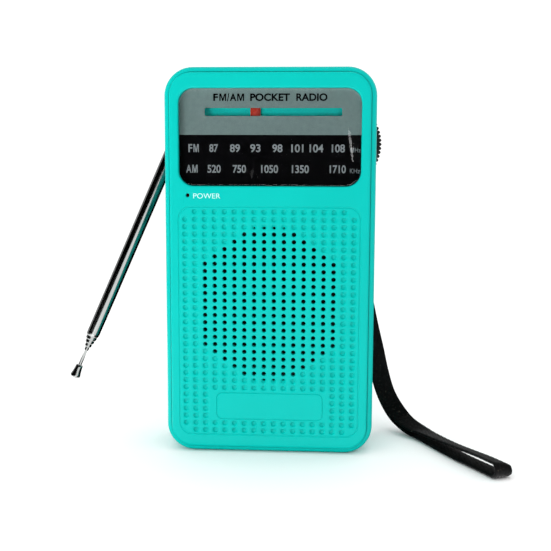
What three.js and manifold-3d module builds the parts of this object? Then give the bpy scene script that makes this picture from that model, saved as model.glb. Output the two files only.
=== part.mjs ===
// Transistor pocket radio: a standalone three.js model in millimetres, +Z up.
// The radio stands upright on its base. The front faces -Y, +X is the tuning-wheel side, and the
// origin is the middle of the flat base.
import * as THREE from 'three';
import { mergeVertices } from 'three/addons/utils/BufferGeometryUtils.js';
import Module from 'manifold-3d';

// ---------------------------------------------------------------- driving dimensions
const BODY = { width: 65, height: 120, depth: 28, corner: 8.8, wall: 1.6 };
const FRONT = -BODY.depth / 2;
const BACK = BODY.depth / 2;
const GAP = 0.3;                                    // clearance between neighbouring pieces
const MID_Z = BODY.height / 2;

const COVER = { inset: 1.9, corner: 6.9, plate: 2, skirt: 3.6, skirtWall: 1.4 };
const RIM = { back: 1, inset: 1.3, roll: 2.5 };     // rolled front edge of the rear shell
const WINDOW = { width: 55.7, height: 29.5, z: 98.7, corner: 4.6 };
const GRILLE = { z: 47.4, pitchX: 3.06, pitchZ: 2.295, columns: 14, shortest: 12, longest: 20, hole: 0.7 };
const LED_HOLE = { x: -25.1, z: 81.1, radius: 0.6 };

const WHEEL = { x: 20.3, z: 96.9, radius: 14, drum: 12.1, teeth: 68, front: -6.2, back: -2.9 };
const SLOT = { x: 1, z: 106.4, width: 41.9, height: 2.4 };
const POINTER = { x: -4.45, width: 3.1 };
const CORD_Y = -7.2;                                // plane of the dial cord
const PULLEY = { x: -24.6, radius: 2.5 };

const VOLUME = { x: -25.6, z: 92, radius: 8, front: 2.3, back: 5.5, teeth: 36 };
const BAND = { y: 3.2, z: 67.8 };
const JACK = { y: 2.9, z: 73 };
const BOARD = { front: -2.4, back: -0.8, left: -29.6, right: 29.6, bottom: 61.5, top: 115.5 };
const SPEAKER = { radius: 25, depth: 15.2, magnet: 12 };
const CELL = { length: 50.5, radius: 7.25, x: 3.4, y: 4.8, z: [11.5, 26.3] };
const DOOR = { left: -21.7, right: 28.7, bottom: 4.9, top: 33.6 };

const STEP = { x: -23.8, y: 8.2, bottom: 5.5, wall: 1.5 };   // rebate that stows the antenna
const AERIAL = { x: -26.3, y: 11.6, z: 113, swing: 24.1, nose: 88.8, collar: 1.4, rod: 5.5, tip: 4.9 };
const SECTIONS = [
  { outer: 2.2, inner: 2.0, top: 6 },
  { outer: 1.85, inner: 1.65, top: 8 },
  { outer: 1.5, inner: 1.3, top: 11 },
  { outer: 1.15, inner: 0.95, top: 14 },
];

const CASE_SCREWS = [
  { x: -27.8, z: 77.6, floor: STEP.y },
  { x: 27.2, z: 80, floor: BACK },
  { x: -27.2, z: 37.5, floor: STEP.y },
  { x: 27.2, z: 37.5, floor: BACK },
];
const BOARD_SCREWS = [{ x: -19.5, z: 79.5 }, { x: 16.5, z: 79.5 }];

const ANCHOR = { x: 24, z: 101, width: 7, height: 7, depth: 4.2, pin: 0.8 };
const STRAP = { width: 6.3, thickness: 1.1, edge: 0.4, top: 88, y: 16.9, stations: 44, foldSteps: 7 };
const FERRULE = { width: 7.6, depth: 4.6, height: 7 };

// ---------------------------------------------------------------- materials
const paint = (color, roughness, metalness = 0) =>
  new THREE.MeshStandardMaterial({ color, roughness, metalness });
const finish = {
  teal: () => paint('#02d0be', 0.35),
  clear: () => Object.assign(paint('#c8d2d2', 0.05), { opacity: 0.3, transparent: true }),
  scale: () => paint('#2a2e30', 0.4),
  red: () => paint('#be3c32', 0.4),
  black: () => paint('#141416', 0.5),
  chrome: () => paint('#d8dadc', 0.12, 1),
  steel: () => paint('#a8aaac', 0.35, 1),
  board: () => paint('#b08a4a', 0.7),
  paper: () => paint('#26241f', 0.9),
  ferrite: () => paint('#38383a', 0.8),
  copper: () => paint('#b5642c', 0.4, 1),
  cell: () => paint('#3a5f8c', 0.35),
  cream: () => paint('#e8e2d0', 0.5),
  webbing: () => paint('#0b0a0c', 0.9),
  glow: () => paint('#c22018', 0.3),
};

// ---------------------------------------------------------------- shape helpers
const wasm = await Module();
wasm.setup();

/** Turns a closed geometry into a solid with shared vertices and no collapsed triangles. */
function solid(geometry) {
  const bare = geometry.clone();
  bare.deleteAttribute('normal');
  bare.deleteAttribute('uv');
  const merged = mergeVertices(bare, 1e-4);
  const corners = merged.index.array;
  const kept = [];
  for (let i = 0; i < corners.length; i += 3) {
    const [a, b, c] = corners.slice(i, i + 3);
    if (a !== b && b !== c && c !== a) kept.push(a, b, c);
  }
  const vertProperties = new Float32Array(merged.attributes.position.array);
  return new wasm.Manifold(new wasm.Mesh({ numProp: 3, vertProperties, triVerts: new Uint32Array(kept) }));
}

function geometryOf(manifold) {
  const mesh = manifold.getMesh();
  const geometry = new THREE.BufferGeometry();
  geometry.setAttribute('position', new THREE.BufferAttribute(new Float32Array(mesh.vertProperties), 3));
  geometry.setIndex(new THREE.BufferAttribute(new Uint32Array(mesh.triVerts), 1));
  geometry.computeVertexNormals();
  return geometry;
}

const join = (first, ...rest) => geometryOf(rest.reduce((sum, g) => sum.add(solid(g)), solid(first)));
const cut = (first, ...rest) => geometryOf(rest.reduce((sum, g) => sum.subtract(solid(g)), solid(first)));

function block(x0, x1, y0, y1, z0, z1) {
  const box = new THREE.BoxGeometry(x1 - x0, y1 - y0, z1 - z0);
  return box.translate((x0 + x1) / 2, (y0 + y1) / 2, (z0 + z1) / 2);
}

/** A round bar along Y, X or Z between two stations. */
function barY(radius, y0, y1, x, z, sides = 16) {
  return new THREE.CylinderGeometry(radius, radius, y1 - y0, sides).translate(x, (y0 + y1) / 2, z);
}
function barX(radius, x0, x1, y, z, sides = 16) {
  const bar = new THREE.CylinderGeometry(radius, radius, x1 - x0, sides).rotateZ(-Math.PI / 2);
  return bar.translate((x0 + x1) / 2, y, z);
}
function barZ(radius, z0, z1, x, y, sides = 16) {
  const bar = new THREE.CylinderGeometry(radius, radius, z1 - z0, sides).rotateX(Math.PI / 2);
  return bar.translate(x, y, (z0 + z1) / 2);
}

/** A turned piece: profile of [radius, station] pairs, spun about Y. */
function turned(profile, sides = 16) {
  return new THREE.LatheGeometry(profile.map(([r, y]) => new THREE.Vector2(r, y)), sides);
}

function roundedRect(width, height, corner) {
  const [w, h] = [width / 2, height / 2];
  const shape = new THREE.Shape();
  shape.moveTo(w - corner, -h);
  shape.absarc(w - corner, corner - h, corner, -Math.PI / 2, 0);
  shape.absarc(w - corner, h - corner, corner, 0, Math.PI / 2);
  shape.absarc(corner - w, h - corner, corner, Math.PI / 2, Math.PI);
  shape.absarc(corner - w, corner - h, corner, Math.PI, Math.PI * 1.5);
  return shape;
}

/** A flat outline drawn in X and Z, given a thickness from y0 to y1. */
function plateY(shape, y0, y1, curveSegments = 6) {
  const plate = new THREE.ExtrudeGeometry(shape, { depth: y1 - y0, bevelEnabled: false, curveSegments });
  return plate.rotateX(Math.PI / 2).translate(0, y1, 0);
}

function ringHole(x, z, radius, sides = 4) {
  const hole = new THREE.Path();
  for (let i = 0; i < sides; i += 1) {
    const turn = (-2 * Math.PI * (i + 0.1)) / sides;
    const point = [x + radius * Math.cos(turn), z + radius * Math.sin(turn)];
    if (i === 0) hole.moveTo(...point);
    else hole.lineTo(...point);
  }
  hole.closePath();
  return hole;
}

const radio = new THREE.Group();
function place(name, geometry, material, parent = radio) {
  const mesh = new THREE.Mesh(geometry, material);
  mesh.name = name;
  parent.add(mesh);
  return mesh;
}

// ---------------------------------------------------------------- front cover
function frontPlate() {
  const width = BODY.width - 2 * COVER.inset;
  const height = BODY.height - 2 * COVER.inset;
  const face = roundedRect(width, height, COVER.corner);
  const view = new THREE.Path(roundedRect(WINDOW.width, WINDOW.height, WINDOW.corner).getPoints(5)
    .map((p) => new THREE.Vector2(p.x, p.y + WINDOW.z - MID_Z)));
  face.holes.push(view, ringHole(LED_HOLE.x, LED_HOLE.z - MID_Z, LED_HOLE.radius));
  for (let column = 0; column < GRILLE.columns; column += 1) {
    const fromEdge = Math.min(column, GRILLE.columns - 1 - column);
    const rows = Math.min(GRILLE.longest, GRILLE.shortest + 2 * fromEdge);
    for (let row = 0; row < rows; row += 1) {
      const x = (column - (GRILLE.columns - 1) / 2) * GRILLE.pitchX;
      const z = GRILLE.z - MID_Z + (row - (rows - 1) / 2) * GRILLE.pitchZ;
      face.holes.push(ringHole(x, z, GRILLE.hole));
    }
  }
  return plateY(face, FRONT, FRONT + COVER.plate, 5).translate(0, 0, MID_Z);
}

function frontSkirt() {
  const width = BODY.width - 2 * COVER.inset;
  const height = BODY.height - 2 * COVER.inset;
  const wall = COVER.skirtWall;
  const ring = roundedRect(width, height, COVER.corner);
  ring.holes.push(roundedRect(width - 2 * wall, height - 2 * wall, COVER.corner - wall));
  const start = FRONT + COVER.plate - 0.2;
  return plateY(ring, start, start + 0.2 + COVER.skirt, 5).translate(0, 0, MID_Z);
}

function frontCover() {
  const tray = [frontPlate(), frontSkirt()];
  const bores = [];
  for (const { x, z, floor } of CASE_SCREWS) {
    const end = floor - 3.4;
    tray.push(barY(2.4, FRONT + COVER.plate - 0.2, end, x, z, 12));
    bores.push(barY(1.3, end - 8.5, end + 1, x, z, 8));
  }
  for (const { x, z } of BOARD_SCREWS) {
    tray.push(barY(2.2, FRONT + COVER.plate - 0.2, BOARD.front - GAP, x, z, 12));
    bores.push(barY(1.3, -6, 0, x, z, 8));
  }
  return cut(join(...tray), ...bores);
}
place('front_cover', frontCover(), finish.teal());

// ---------------------------------------------------------------- rear cover
function rearShell() {
  const { inset, roll } = RIM;
  const outline = roundedRect(BODY.width - 2 * inset, BODY.height - 2 * inset, BODY.corner - inset);
  const depth = BODY.depth - RIM.back - 2 * roll;
  const bevel = { bevelThickness: roll, bevelSize: inset, bevelSegments: 3, curveSegments: 6 };
  const hull = new THREE.ExtrudeGeometry(outline, { depth, ...bevel });
  hull.rotateX(Math.PI / 2).translate(0, BACK - roll, MID_Z);
  const inner = BODY.corner - BODY.wall;
  const room = roundedRect(BODY.width - 2 * BODY.wall, BODY.height - 2 * BODY.wall, inner);
  const cavity = plateY(room, FRONT - 1, BACK - BODY.wall).translate(0, 0, MID_Z);
  const { x, y, wall } = STEP;
  const stepLining = block(-40, x + wall, y - wall, BACK, -1, BODY.height + 1);
  const pivotLining = block(-40, AERIAL.x + 5.9, y - wall, BACK, 106, BODY.height + 1);
  return cut(hull, cut(cavity, stepLining, pivotLining));
}

function rearCover() {
  const bosses = [];
  const cuts = [
    block(-40, STEP.x, STEP.y, BACK + 1, STEP.bottom, BODY.height + 1),
    barY(4.4, STEP.y, BACK + 1, AERIAL.x, AERIAL.z, 20),
    barY(1.3, STEP.y - 3, STEP.y + 1, AERIAL.x, AERIAL.z, 12),
    block(DOOR.left - GAP, DOOR.right + GAP, 5, BACK + 1, DOOR.bottom - GAP, DOOR.top + GAP),
  ];
  for (const { x, z, floor } of CASE_SCREWS) {
    bosses.push(barY(3.3, floor - 3.1, floor - 1.4, x, z, 14));
    cuts.push(barY(1.3, floor - 5, floor + 1, x, z, 12), barY(2.5, floor - 1.7, floor + 1, x, z, 12));
  }
  const { x: ax, z: az, width, height, depth } = ANCHOR;
  bosses.push(block(ax - width / 2 - 1.4, ax + width / 2 + 1.4, BACK - depth - 1.4, BACK - 1.4,
    az - height / 2 - 1.4, az + height / 2 + 1.4));
  const pocket = [az - height / 2, az + height / 2];
  cuts.push(block(ax - width / 2, ax + width / 2, BACK - depth, BACK + 1, ...pocket));
  const wheelRoom = 9.9;
  cuts.push(block(29, 40, -8.5, WHEEL.back + 0.4, WHEEL.z - wheelRoom, WHEEL.z + wheelRoom));
  cuts.push(block(-40, -29, 1.9, 5.9, VOLUME.z - 6.5, VOLUME.z + 6.5));
  cuts.push(block(-40, -29, 1.4, 5.1, BAND.z - 4.6, BAND.z + 4.6));
  cuts.push(barX(3, 29, 40, JACK.y, JACK.z, 16));
  const room = roundedRect(BODY.width - 0.4, BODY.height - 0.4, BODY.corner);
  const inside = plateY(room, FRONT, BACK - 0.2).translate(0, 0, MID_Z);
  const trimmed = bosses.map((boss) => geometryOf(solid(boss).intersect(solid(inside))));
  return cut(join(rearShell(), ...trimmed), ...cuts);
}

place('rear_cover', rearCover(), finish.teal());
place('battery_door', batteryDoor(), finish.teal());

function batteryDoor() {
  const { left, right, bottom, top } = DOOR;
  const panel = block(left, right, BACK - BODY.wall, BACK, bottom, top);
  const middle = (left + right) / 2;
  const grip = block(middle - 5, middle + 5, BACK - 0.7, BACK + 1, top - 5, top - 2.6);
  return cut(panel, grip);
}

// ---------------------------------------------------------------- dial
function dialLens() {
  const glass = roundedRect(WINDOW.width - 2 * GAP, WINDOW.height - 2 * GAP, WINDOW.corner - GAP);
  return plateY(glass, FRONT + 0.8, FRONT + 2, 5).translate(0, 0, WINDOW.z);
}

function dialScale() {
  const card = roundedRect(WINDOW.width + 1.6, WINDOW.height + 1.6, 3);
  const [w, h] = [SLOT.width / 2, SLOT.height / 2];
  const z = SLOT.z - WINDOW.z;
  card.holes.push(new THREE.Path([[-w, -h], [-w, h], [w, h], [w, -h]]
    .map(([u, v]) => new THREE.Vector2(SLOT.x + u, z + v))));
  return plateY(card, FRONT + 2.3, FRONT + 2.8, 3).translate(0, 0, WINDOW.z);
}

function dialBackplate() {
  return block(-28, 28, FRONT + 4.2, FRONT + 5.4, 101.5, 108.6);
}

function dialPointer() {
  const [left, right] = [POINTER.x - POINTER.width / 2, POINTER.x + POINTER.width / 2];
  const needle = block(left, right, FRONT + 3.1, FRONT + 3.8, 104, 111.1);
  const arm = block(left, right, FRONT + 3.1, CORD_Y + 0.4, 110.3, 111.1);
  return join(needle, arm);
}

function dialCord() {
  const top = WHEEL.z + WHEEL.drum + GAP + 0.35;
  const big = WHEEL.drum + GAP + 0.35;
  const small = PULLEY.radius + GAP + 0.35;
  const pulleyZ = top - small;
  const [dx, dz] = [WHEEL.x - PULLEY.x, WHEEL.z - pulleyZ];
  const lean = Math.asin((big - small) / Math.hypot(dx, dz)) + Math.atan2(-dz, dx);
  const shape = new THREE.Shape();
  const outline = (grow) => {
    const path = [];
    const arc = (x, z, r, from, to, steps) => {
      for (let i = 0; i <= steps; i += 1) {
        const turn = from + ((to - from) * i) / steps;
        path.push(new THREE.Vector2(x + (r + grow) * Math.cos(turn), z + (r + grow) * Math.sin(turn)));
      }
    };
    arc(WHEEL.x, WHEEL.z, big, -Math.PI / 2 - lean, Math.PI / 2, 16);
    arc(PULLEY.x, pulleyZ, small, Math.PI / 2, Math.PI * 1.5 - lean, 8);
    return path;
  };
  shape.setFromPoints(outline(0.3));
  shape.holes.push(new THREE.Path(outline(-0.3)));
  return plateY(shape, CORD_Y - 0.3, CORD_Y + 0.3);
}

function dialPulley() {
  const z = WHEEL.z + WHEEL.drum - PULLEY.radius;
  const roller = [[0.9, -0.8], [PULLEY.radius, -0.8], [PULLEY.radius, 0.8], [0.9, 0.8], [0.9, -0.8]];
  return turned(roller, 16).translate(PULLEY.x, CORD_Y, z);
}

function pulleyPin() {
  const z = WHEEL.z + WHEEL.drum - PULLEY.radius;
  const pin = [[0, -1.1], [0.55, -1.1], [0.55, 1.1], [1.5, 1.1], [1.5, 1.9], [0, 1.9]];
  return turned(pin, 12).translate(PULLEY.x, CORD_Y, z);
}

place('dial_lens', dialLens(), finish.clear());
place('dial_scale', dialScale(), finish.scale());
place('dial_backplate', dialBackplate(), finish.teal());
place('dial_pointer', dialPointer(), finish.red());
place('dial_cord', dialCord(), finish.cream());
place('dial_pulley', dialPulley(), finish.cream());
place('dial_pulley_pin', pulleyPin(), finish.steel());

// ---------------------------------------------------------------- thumb wheels
function toothedDisc(radius, teeth, depth, y0, y1) {
  const rim = new THREE.Shape();
  for (let i = 0; i < teeth; i += 1) {
    for (const [share, r] of [[0, radius], [0.5, radius - depth]]) {
      const turn = (2 * Math.PI * (i + share)) / teeth;
      if (i + share === 0) rim.moveTo(r, 0);
      else rim.lineTo(r * Math.cos(turn), r * Math.sin(turn));
    }
  }
  rim.closePath();
  return plateY(rim, y0, y1);
}

function tuningWheel() {
  const rim = toothedDisc(WHEEL.radius, WHEEL.teeth, 0.5, WHEEL.front, WHEEL.back);
  const drum = barY(WHEEL.drum, CORD_Y - 0.8, WHEEL.front + 0.2, 0, 0, 32);
  const wheel = join(rim, drum);
  const hub = barY(3.3, WHEEL.back - 1.2, WHEEL.back + 1, 0, 0, 16);
  const bore = barY(1.4, -12, 0, 0, 0, 12);
  const sink = barY(2.9, -12, CORD_Y + 1, 0, 0, 16);
  return cut(wheel, hub, bore, sink).translate(WHEEL.x, 0, WHEEL.z);
}

function tuningScrew() {
  const screw = [[0, -7.9], [2.5, -7.9], [2.5, -6.7], [1, -6.7], [1, -3.2], [0, -3.2]];
  return turned(screw, 12).translate(WHEEL.x, 0, WHEEL.z);
}

function tuningCapacitor() {
  const can = block(-10, 10, -0.5, 8, -10, 10);
  const shaft = barY(2.9, -3.8, -0.3, 0, 0, 16);
  const thread = barY(1.3, -4, 2, 0, 0, 8);
  return cut(join(can, shaft), thread).translate(WHEEL.x, 0, WHEEL.z);
}

function volumeWheel() {
  const { x, z, radius, teeth, front, back } = VOLUME;
  const bore = barY(1.3, front - 1, back + 1, 0, 0, 12);
  return cut(toothedDisc(radius, teeth, 0.45, front, back), bore).translate(x, 0, z);
}

function volumePot() {
  const { x, z, front, back } = VOLUME;
  const body = barY(5, -0.5, front - GAP, x, z, 18);
  const shaft = barY(1, front - GAP - 0.1, back + 0.3, x, z, 12);
  return join(body, shaft);
}

place('tuning_wheel', tuningWheel(), finish.black());
place('tuning_wheel_screw', tuningScrew(), finish.steel());
place('tuning_capacitor', tuningCapacitor(), finish.cream());
place('volume_wheel', volumeWheel(), finish.black());
place('volume_pot', volumePot(), finish.board());

// ---------------------------------------------------------------- circuit board and what it carries
function circuitBoard() {
  const { left, right, bottom, top, front, back } = BOARD;
  const cuts = CASE_SCREWS.map(({ x, z }) => barY(2.8, front - 1, back + 1, x, z, 16));
  cuts.push(barY(3.4, front - 1, back + 1, WHEEL.x, WHEEL.z, 20));
  for (const { x, z } of BOARD_SCREWS) cuts.push(barY(1.3, front - 1, back + 1, x, z, 10));
  const [cornerX, cornerZ] = [24.4, 110.6];
  for (const side of [-1, 1]) {
    const corner = block(cornerX, 35, front - 1, back + 1, cornerZ, 120);
    cuts.push(side < 0 ? corner.rotateZ(Math.PI).translate(0, front + back, 0) : corner);
  }
  return cut(block(left, right, front, back, bottom, top), ...cuts);
}

function ifCan(x, z) {
  return block(x - 3.5, x + 3.5, -0.5, 7.5, z - 3.5, z + 3.5);
}

function electrolytic(x, z, radius, height) {
  const can = [[0, 0], [radius, 0], [radius, height - 0.4], [radius - 0.4, height], [0, height]];
  return turned(can, 14).translate(x, -0.5, z);
}

function earphoneJack() {
  const { y, z } = JACK;
  const body = block(18.5, 28.2, -0.5, y + 3.2, z - 3.4, z + 3.4);
  const collar = barX(2.6, 28, 31.4, y, z, 14);
  return cut(join(body, collar), barX(1.8, 20.5, 33, y, z, 12));
}

function bandSwitchBody() {
  const { y, z } = BAND;
  const body = block(-28.6, -24.4, -0.5, 6.2, z - 6.2, z + 6.2);
  return cut(body, block(-30, -26.6, y - 1.5, y + 1.5, z - 4.4, z + 4.4));
}

function bandSwitchKnob() {
  const { y, z } = BAND;
  const stem = block(-30.2, -27, y - 1.1, y + 1.1, z - 3.9, z - 0.1);
  const cap = block(-33.3, -30.1, y - 1.5, y + 1.5, z - 4.2, z + 0.2);
  return join(stem, cap);
}

function powerLed() {
  const { x, z } = LED_HOLE;
  const dome = [[0, -11.6], [0.9, -11.4], [1.5, -10.4], [1.5, -6.4], [0, -6.4]];
  const [reach, half] = [0.6, 0.2];
  const legs = [-reach, reach].map((side) => (
    block(x + side - half, x + side + half, -6.6, -2.7, z - half, z + half)
  ));
  return join(turned(dome, 12).translate(x, 0, z), ...legs);
}

place('circuit_board', circuitBoard(), finish.board());
[[-12, 92], [-3.6, 92], [-7.8, 82.5]].forEach(([x, z], i) => {
  place(`if_transformer_${i + 1}`, ifCan(x, z), finish.steel());
});
place('radio_ic', block(-14.5, -5, -0.5, 1.6, 72.3, 76.7), finish.black());
place('capacitor_large', electrolytic(10, 73.5, 4, 10), finish.black());
place('capacitor_small', electrolytic(1, 72, 2.5, 7), finish.black());
place('earphone_jack', earphoneJack(), finish.black());
place('band_switch_body', bandSwitchBody(), finish.steel());
place('band_switch_knob', bandSwitchKnob(), finish.black());
place('power_led', powerLed(), finish.glow());
place('ferrite_bar', block(-18, 21.5, 0.9, 4.9, 108.6, 114.4), finish.ferrite());
place('ferrite_coil', ferriteCoil(), finish.copper());

function ferriteCoil() {
  const sleeve = block(-12, 4, 0.1, 5.7, 107.8, 115.2);
  return cut(sleeve, block(-13, 5, 0.6, 5.2, 108.3, 114.7));
}

// ---------------------------------------------------------------- loudspeaker
function speakerFrame() {
  const { radius, depth, magnet } = SPEAKER;
  const start = FRONT + COVER.plate + GAP;
  const basket = [
    [radius - 3, start], [radius, start], [radius, start + 1.6], [radius - 2.6, start + 1.6],
    [magnet, start + depth - 8.4], [magnet - 4, start + depth - 8.4], [magnet - 4, start + depth - 9.4],
    [magnet - 0.4, start + depth - 9.4], [radius - 3, start + 0.9], [radius - 3, start],
  ];
  return turned(basket, 24).translate(0, 0, GRILLE.z);
}

function speakerCone() {
  const { radius } = SPEAKER;
  const start = FRONT + COVER.plate + GAP;
  const cone = [
    [0, start + 2.4], [6, start + 3.4], [radius - 3.6, start + 0.2], [radius - 3.6, start + 0.5],
    [6, start + 4.6], [0, start + 3.4],
  ];
  return turned(cone, 24).translate(0, 0, GRILLE.z);
}

function speakerMagnet() {
  const { depth, magnet } = SPEAKER;
  const start = FRONT + COVER.plate + GAP;
  const face = start + depth - 8.4 + GAP;
  const pot = [[0, face], [magnet, face], [magnet, start + depth], [0, start + depth]];
  return turned(pot, 24).translate(0, 0, GRILLE.z);
}

place('speaker_frame', speakerFrame(), finish.steel());
place('speaker_cone', speakerCone(), finish.paper());
place('speaker_magnet', speakerMagnet(), finish.ferrite());

// ---------------------------------------------------------------- power supply
function cell(z, flip) {
  const { length, radius } = CELL;
  const shoulder = length - 1.8;
  const nub = { radius: 2.7, end: length - 0.3 };
  const can = [
    [0, 0], [radius, 0], [radius, shoulder],
    [nub.radius, shoulder], [nub.radius, nub.end], [0, nub.end],
  ];
  const body = turned(can, 20).rotateZ(-Math.PI / 2).translate(-length / 2, 0, 0);
  if (flip) body.rotateZ(Math.PI);
  return body.translate(CELL.x, CELL.y, z);
}

/** A bowed leaf contact at one end of the cells, between two heights. */
function contactStrip(side, z0, z1) {
  const end = CELL.x + (side * CELL.length) / 2 + side * 0.5;
  const leaf = new THREE.Shape();
  const profile = [[0, 0], [0.9, -2.4], [1.3, -2.4], [0.4, 0], [1.3, 2.4], [0.9, 2.4]];
  profile.forEach(([u, v], i) => (i ? leaf.lineTo(side * u, v) : leaf.moveTo(side * u, v)));
  leaf.closePath();
  const strip = new THREE.ExtrudeGeometry(leaf, { depth: z1 - z0, bevelEnabled: false });
  return strip.translate(end, CELL.y - 0.8, z0);
}

CELL.z.forEach((z, i) => place(`battery_${i + 1}`, cell(z, i === 1), finish.cell()));
place('battery_bridge', contactStrip(-1, 6.5, 31.3), finish.steel());
CELL.z.forEach((z, i) => {
  place(`battery_terminal_${i + 1}`, contactStrip(1, z - 4.5, z + 4.5), finish.steel());
});

// ---------------------------------------------------------------- fasteners
function panScrew(head, headHeight, shank, length) {
  const shaft = [[0, -length], [shank, -length], [shank, 0]];
  return turned([...shaft, [head, 0], [head, headHeight], [0, headHeight]], 12);
}

CASE_SCREWS.forEach(({ x, z, floor }, i) => {
  const screw = panScrew(2.1, 1.1, 1, 9.5).translate(x, floor - 1.4, z);
  place(`case_screw_${i + 1}`, screw, finish.steel());
});
BOARD_SCREWS.forEach(({ x, z }, i) => {
  const screw = panScrew(2.1, 1.1, 1, 4.6).translate(x, BOARD.back + GAP, z);
  place(`board_screw_${i + 1}`, screw, finish.steel());
});

// ---------------------------------------------------------------- telescopic antenna
const aerial = new THREE.Group();
aerial.position.set(AERIAL.x, AERIAL.y, AERIAL.z);
aerial.rotation.y = THREE.MathUtils.degToRad(AERIAL.swing);
radio.add(aerial);

function antennaScrew() {
  const inner = STEP.y - STEP.wall - GAP;
  const screw = [[0, inner - 1.2], [2.3, inner - 1.2], [2.3, inner], [0.95, inner], [0.95, 9.1], [0, 9.1]];
  return turned(screw, 12).translate(AERIAL.x, 0, AERIAL.z);
}

/** The turning foot: a disc on the case with two ears that hold the antenna's knuckle. */
function antennaSwivel() {
  const floor = STEP.y - AERIAL.y + GAP;
  const disc = barY(3.3, floor, floor + 1, 0, 0, 20);
  const ears = [-1, 1].map((side) => {
    const [near, far] = side < 0 ? [-2.1, -1.1] : [1.1, 2.1];
    return join(barX(2, near, far, 0, 0, 16), block(near, far, floor + 0.9, 0, -2, 2));
  });
  const bore = barY(1.25, floor - 1, floor + 1.2, 0, 0, 12);
  return cut(join(disc, ...ears), bore, barX(0.9, -4, 4, 0, 0, 12));
}

function antennaPin() {
  const [shank, head, inner, outer] = [0.6, 1.3, 2.4, 2.7];
  const pin = [
    [0, -outer], [head, -outer], [head, -inner], [shank, -inner],
    [shank, inner], [head, inner], [head, outer], [0, outer],
  ];
  return turned(pin, 12).rotateZ(-Math.PI / 2);
}

/** Places a profile of [radius, distance from the pivot] pairs along the antenna. */
function alongAntenna(profile, sides = 16) {
  return turned(profile, sides).rotateX(-Math.PI / 2);
}

function outerSection() {
  const { outer, inner, top } = SECTIONS[0];
  const end = AERIAL.nose;
  const tube = alongAntenna([
    [0, 3.9], [outer - 0.5, 3.9], [outer, 4.6], [outer, end - 0.6], [outer - 0.1, end],
    [inner, end], [inner, top], [0, top],
  ]);
  const knuckle = join(barX(1.8, -0.75, 0.75, 0, 0, 16), block(-0.75, 0.75, -1.3, 1.3, -4.2, -0.2));
  return cut(join(tube, knuckle), barX(0.9, -2, 2, 0, 0, 12));
}

function innerSection(index) {
  const { outer, inner, top } = SECTIONS[index];
  const end = AERIAL.nose + index * AERIAL.collar;
  const rounded = [[outer, end - 0.2], [outer - 0.1, end]];
  return alongAntenna([[inner, top], [outer, top], ...rounded, [inner, end], [inner, top]]);
}

function antennaRod() {
  const collar = AERIAL.nose + SECTIONS.length * AERIAL.collar;
  const end = collar + AERIAL.rod;
  return alongAntenna([[0, 17], [0.72, 17], [0.72, collar], [0.58, collar], [0.58, end], [0, end]], 12);
}

function antennaTip() {
  const start = AERIAL.nose + SECTIONS.length * AERIAL.collar + AERIAL.rod + GAP;
  const end = start + AERIAL.tip - GAP;
  const bell = [[0.95, start], [1.15, start + 0.4], [1.75, end - 0.9], [1.75, end - 0.3], [1.4, end]];
  return alongAntenna([[0, start], ...bell, [0, end]]);
}

place('antenna_screw', antennaScrew(), finish.steel());
place('antenna_swivel', antennaSwivel(), finish.chrome(), aerial);
place('antenna_pin', antennaPin(), finish.chrome(), aerial);
place('antenna_section_1', outerSection(), finish.chrome(), aerial);
for (let i = 1; i < SECTIONS.length; i += 1) {
  place(`antenna_section_${i + 1}`, innerSection(i), finish.chrome(), aerial);
}
place('antenna_rod', antennaRod(), finish.chrome(), aerial);
place('antenna_tip', antennaTip(), finish.chrome(), aerial);

// ---------------------------------------------------------------- wrist strap
const at = (x, y, z) => new THREE.Vector3(x, y, z);

/** Middle line of the doubled webbing, from the ferrule down behind the case and onto the table. */
const STRAP_ROUTE = [
  at(24.2, 16.9, 88), at(25.1, 16.9, 76), at(26.9, 16.9, 63), at(29.4, 16.9, 50), at(32, 16.9, 37.5),
  at(34.4, 16.9, 27.5), at(36.1, 16.9, 20), at(38.2, 16.6, 13), at(40.6, 15.5, 8.3), at(43.4, 12.9, 4.9),
  at(46.5, 8.7, 3), at(49.9, 5.1, 1.95), at(53.2, -1.2, 1.78), at(56.3, -7.8, 1.9), at(59.4, -14.2, 2.1),
  at(62.4, -19.7, 2.25), at(65.5, -25, 2.35), at(68.9, -31.2, 2.4),
];
/** Distance between the two strands by share of the route, and how far the upper one leans, in degrees. */
const STRAP_SPREAD = [[0, 2.3], [0.5, 2.3], [0.6, 1.6], [0.66, 1.6], [0.98, 3.4], [1, 3.4]];
const STRAP_LEAN = [[0, 0], [0.6, 0], [0.86, 14], [1, 14]];

/** Eased value between the [share, value] pairs of a table. */
function eased(table, share) {
  const next = table.findIndex(([end], i) => i > 0 && share <= end);
  const [start, first] = table[next - 1];
  const [end, second] = table[next];
  return first + (second - first) * THREE.MathUtils.smoothstep(share, start, end);
}

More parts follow.
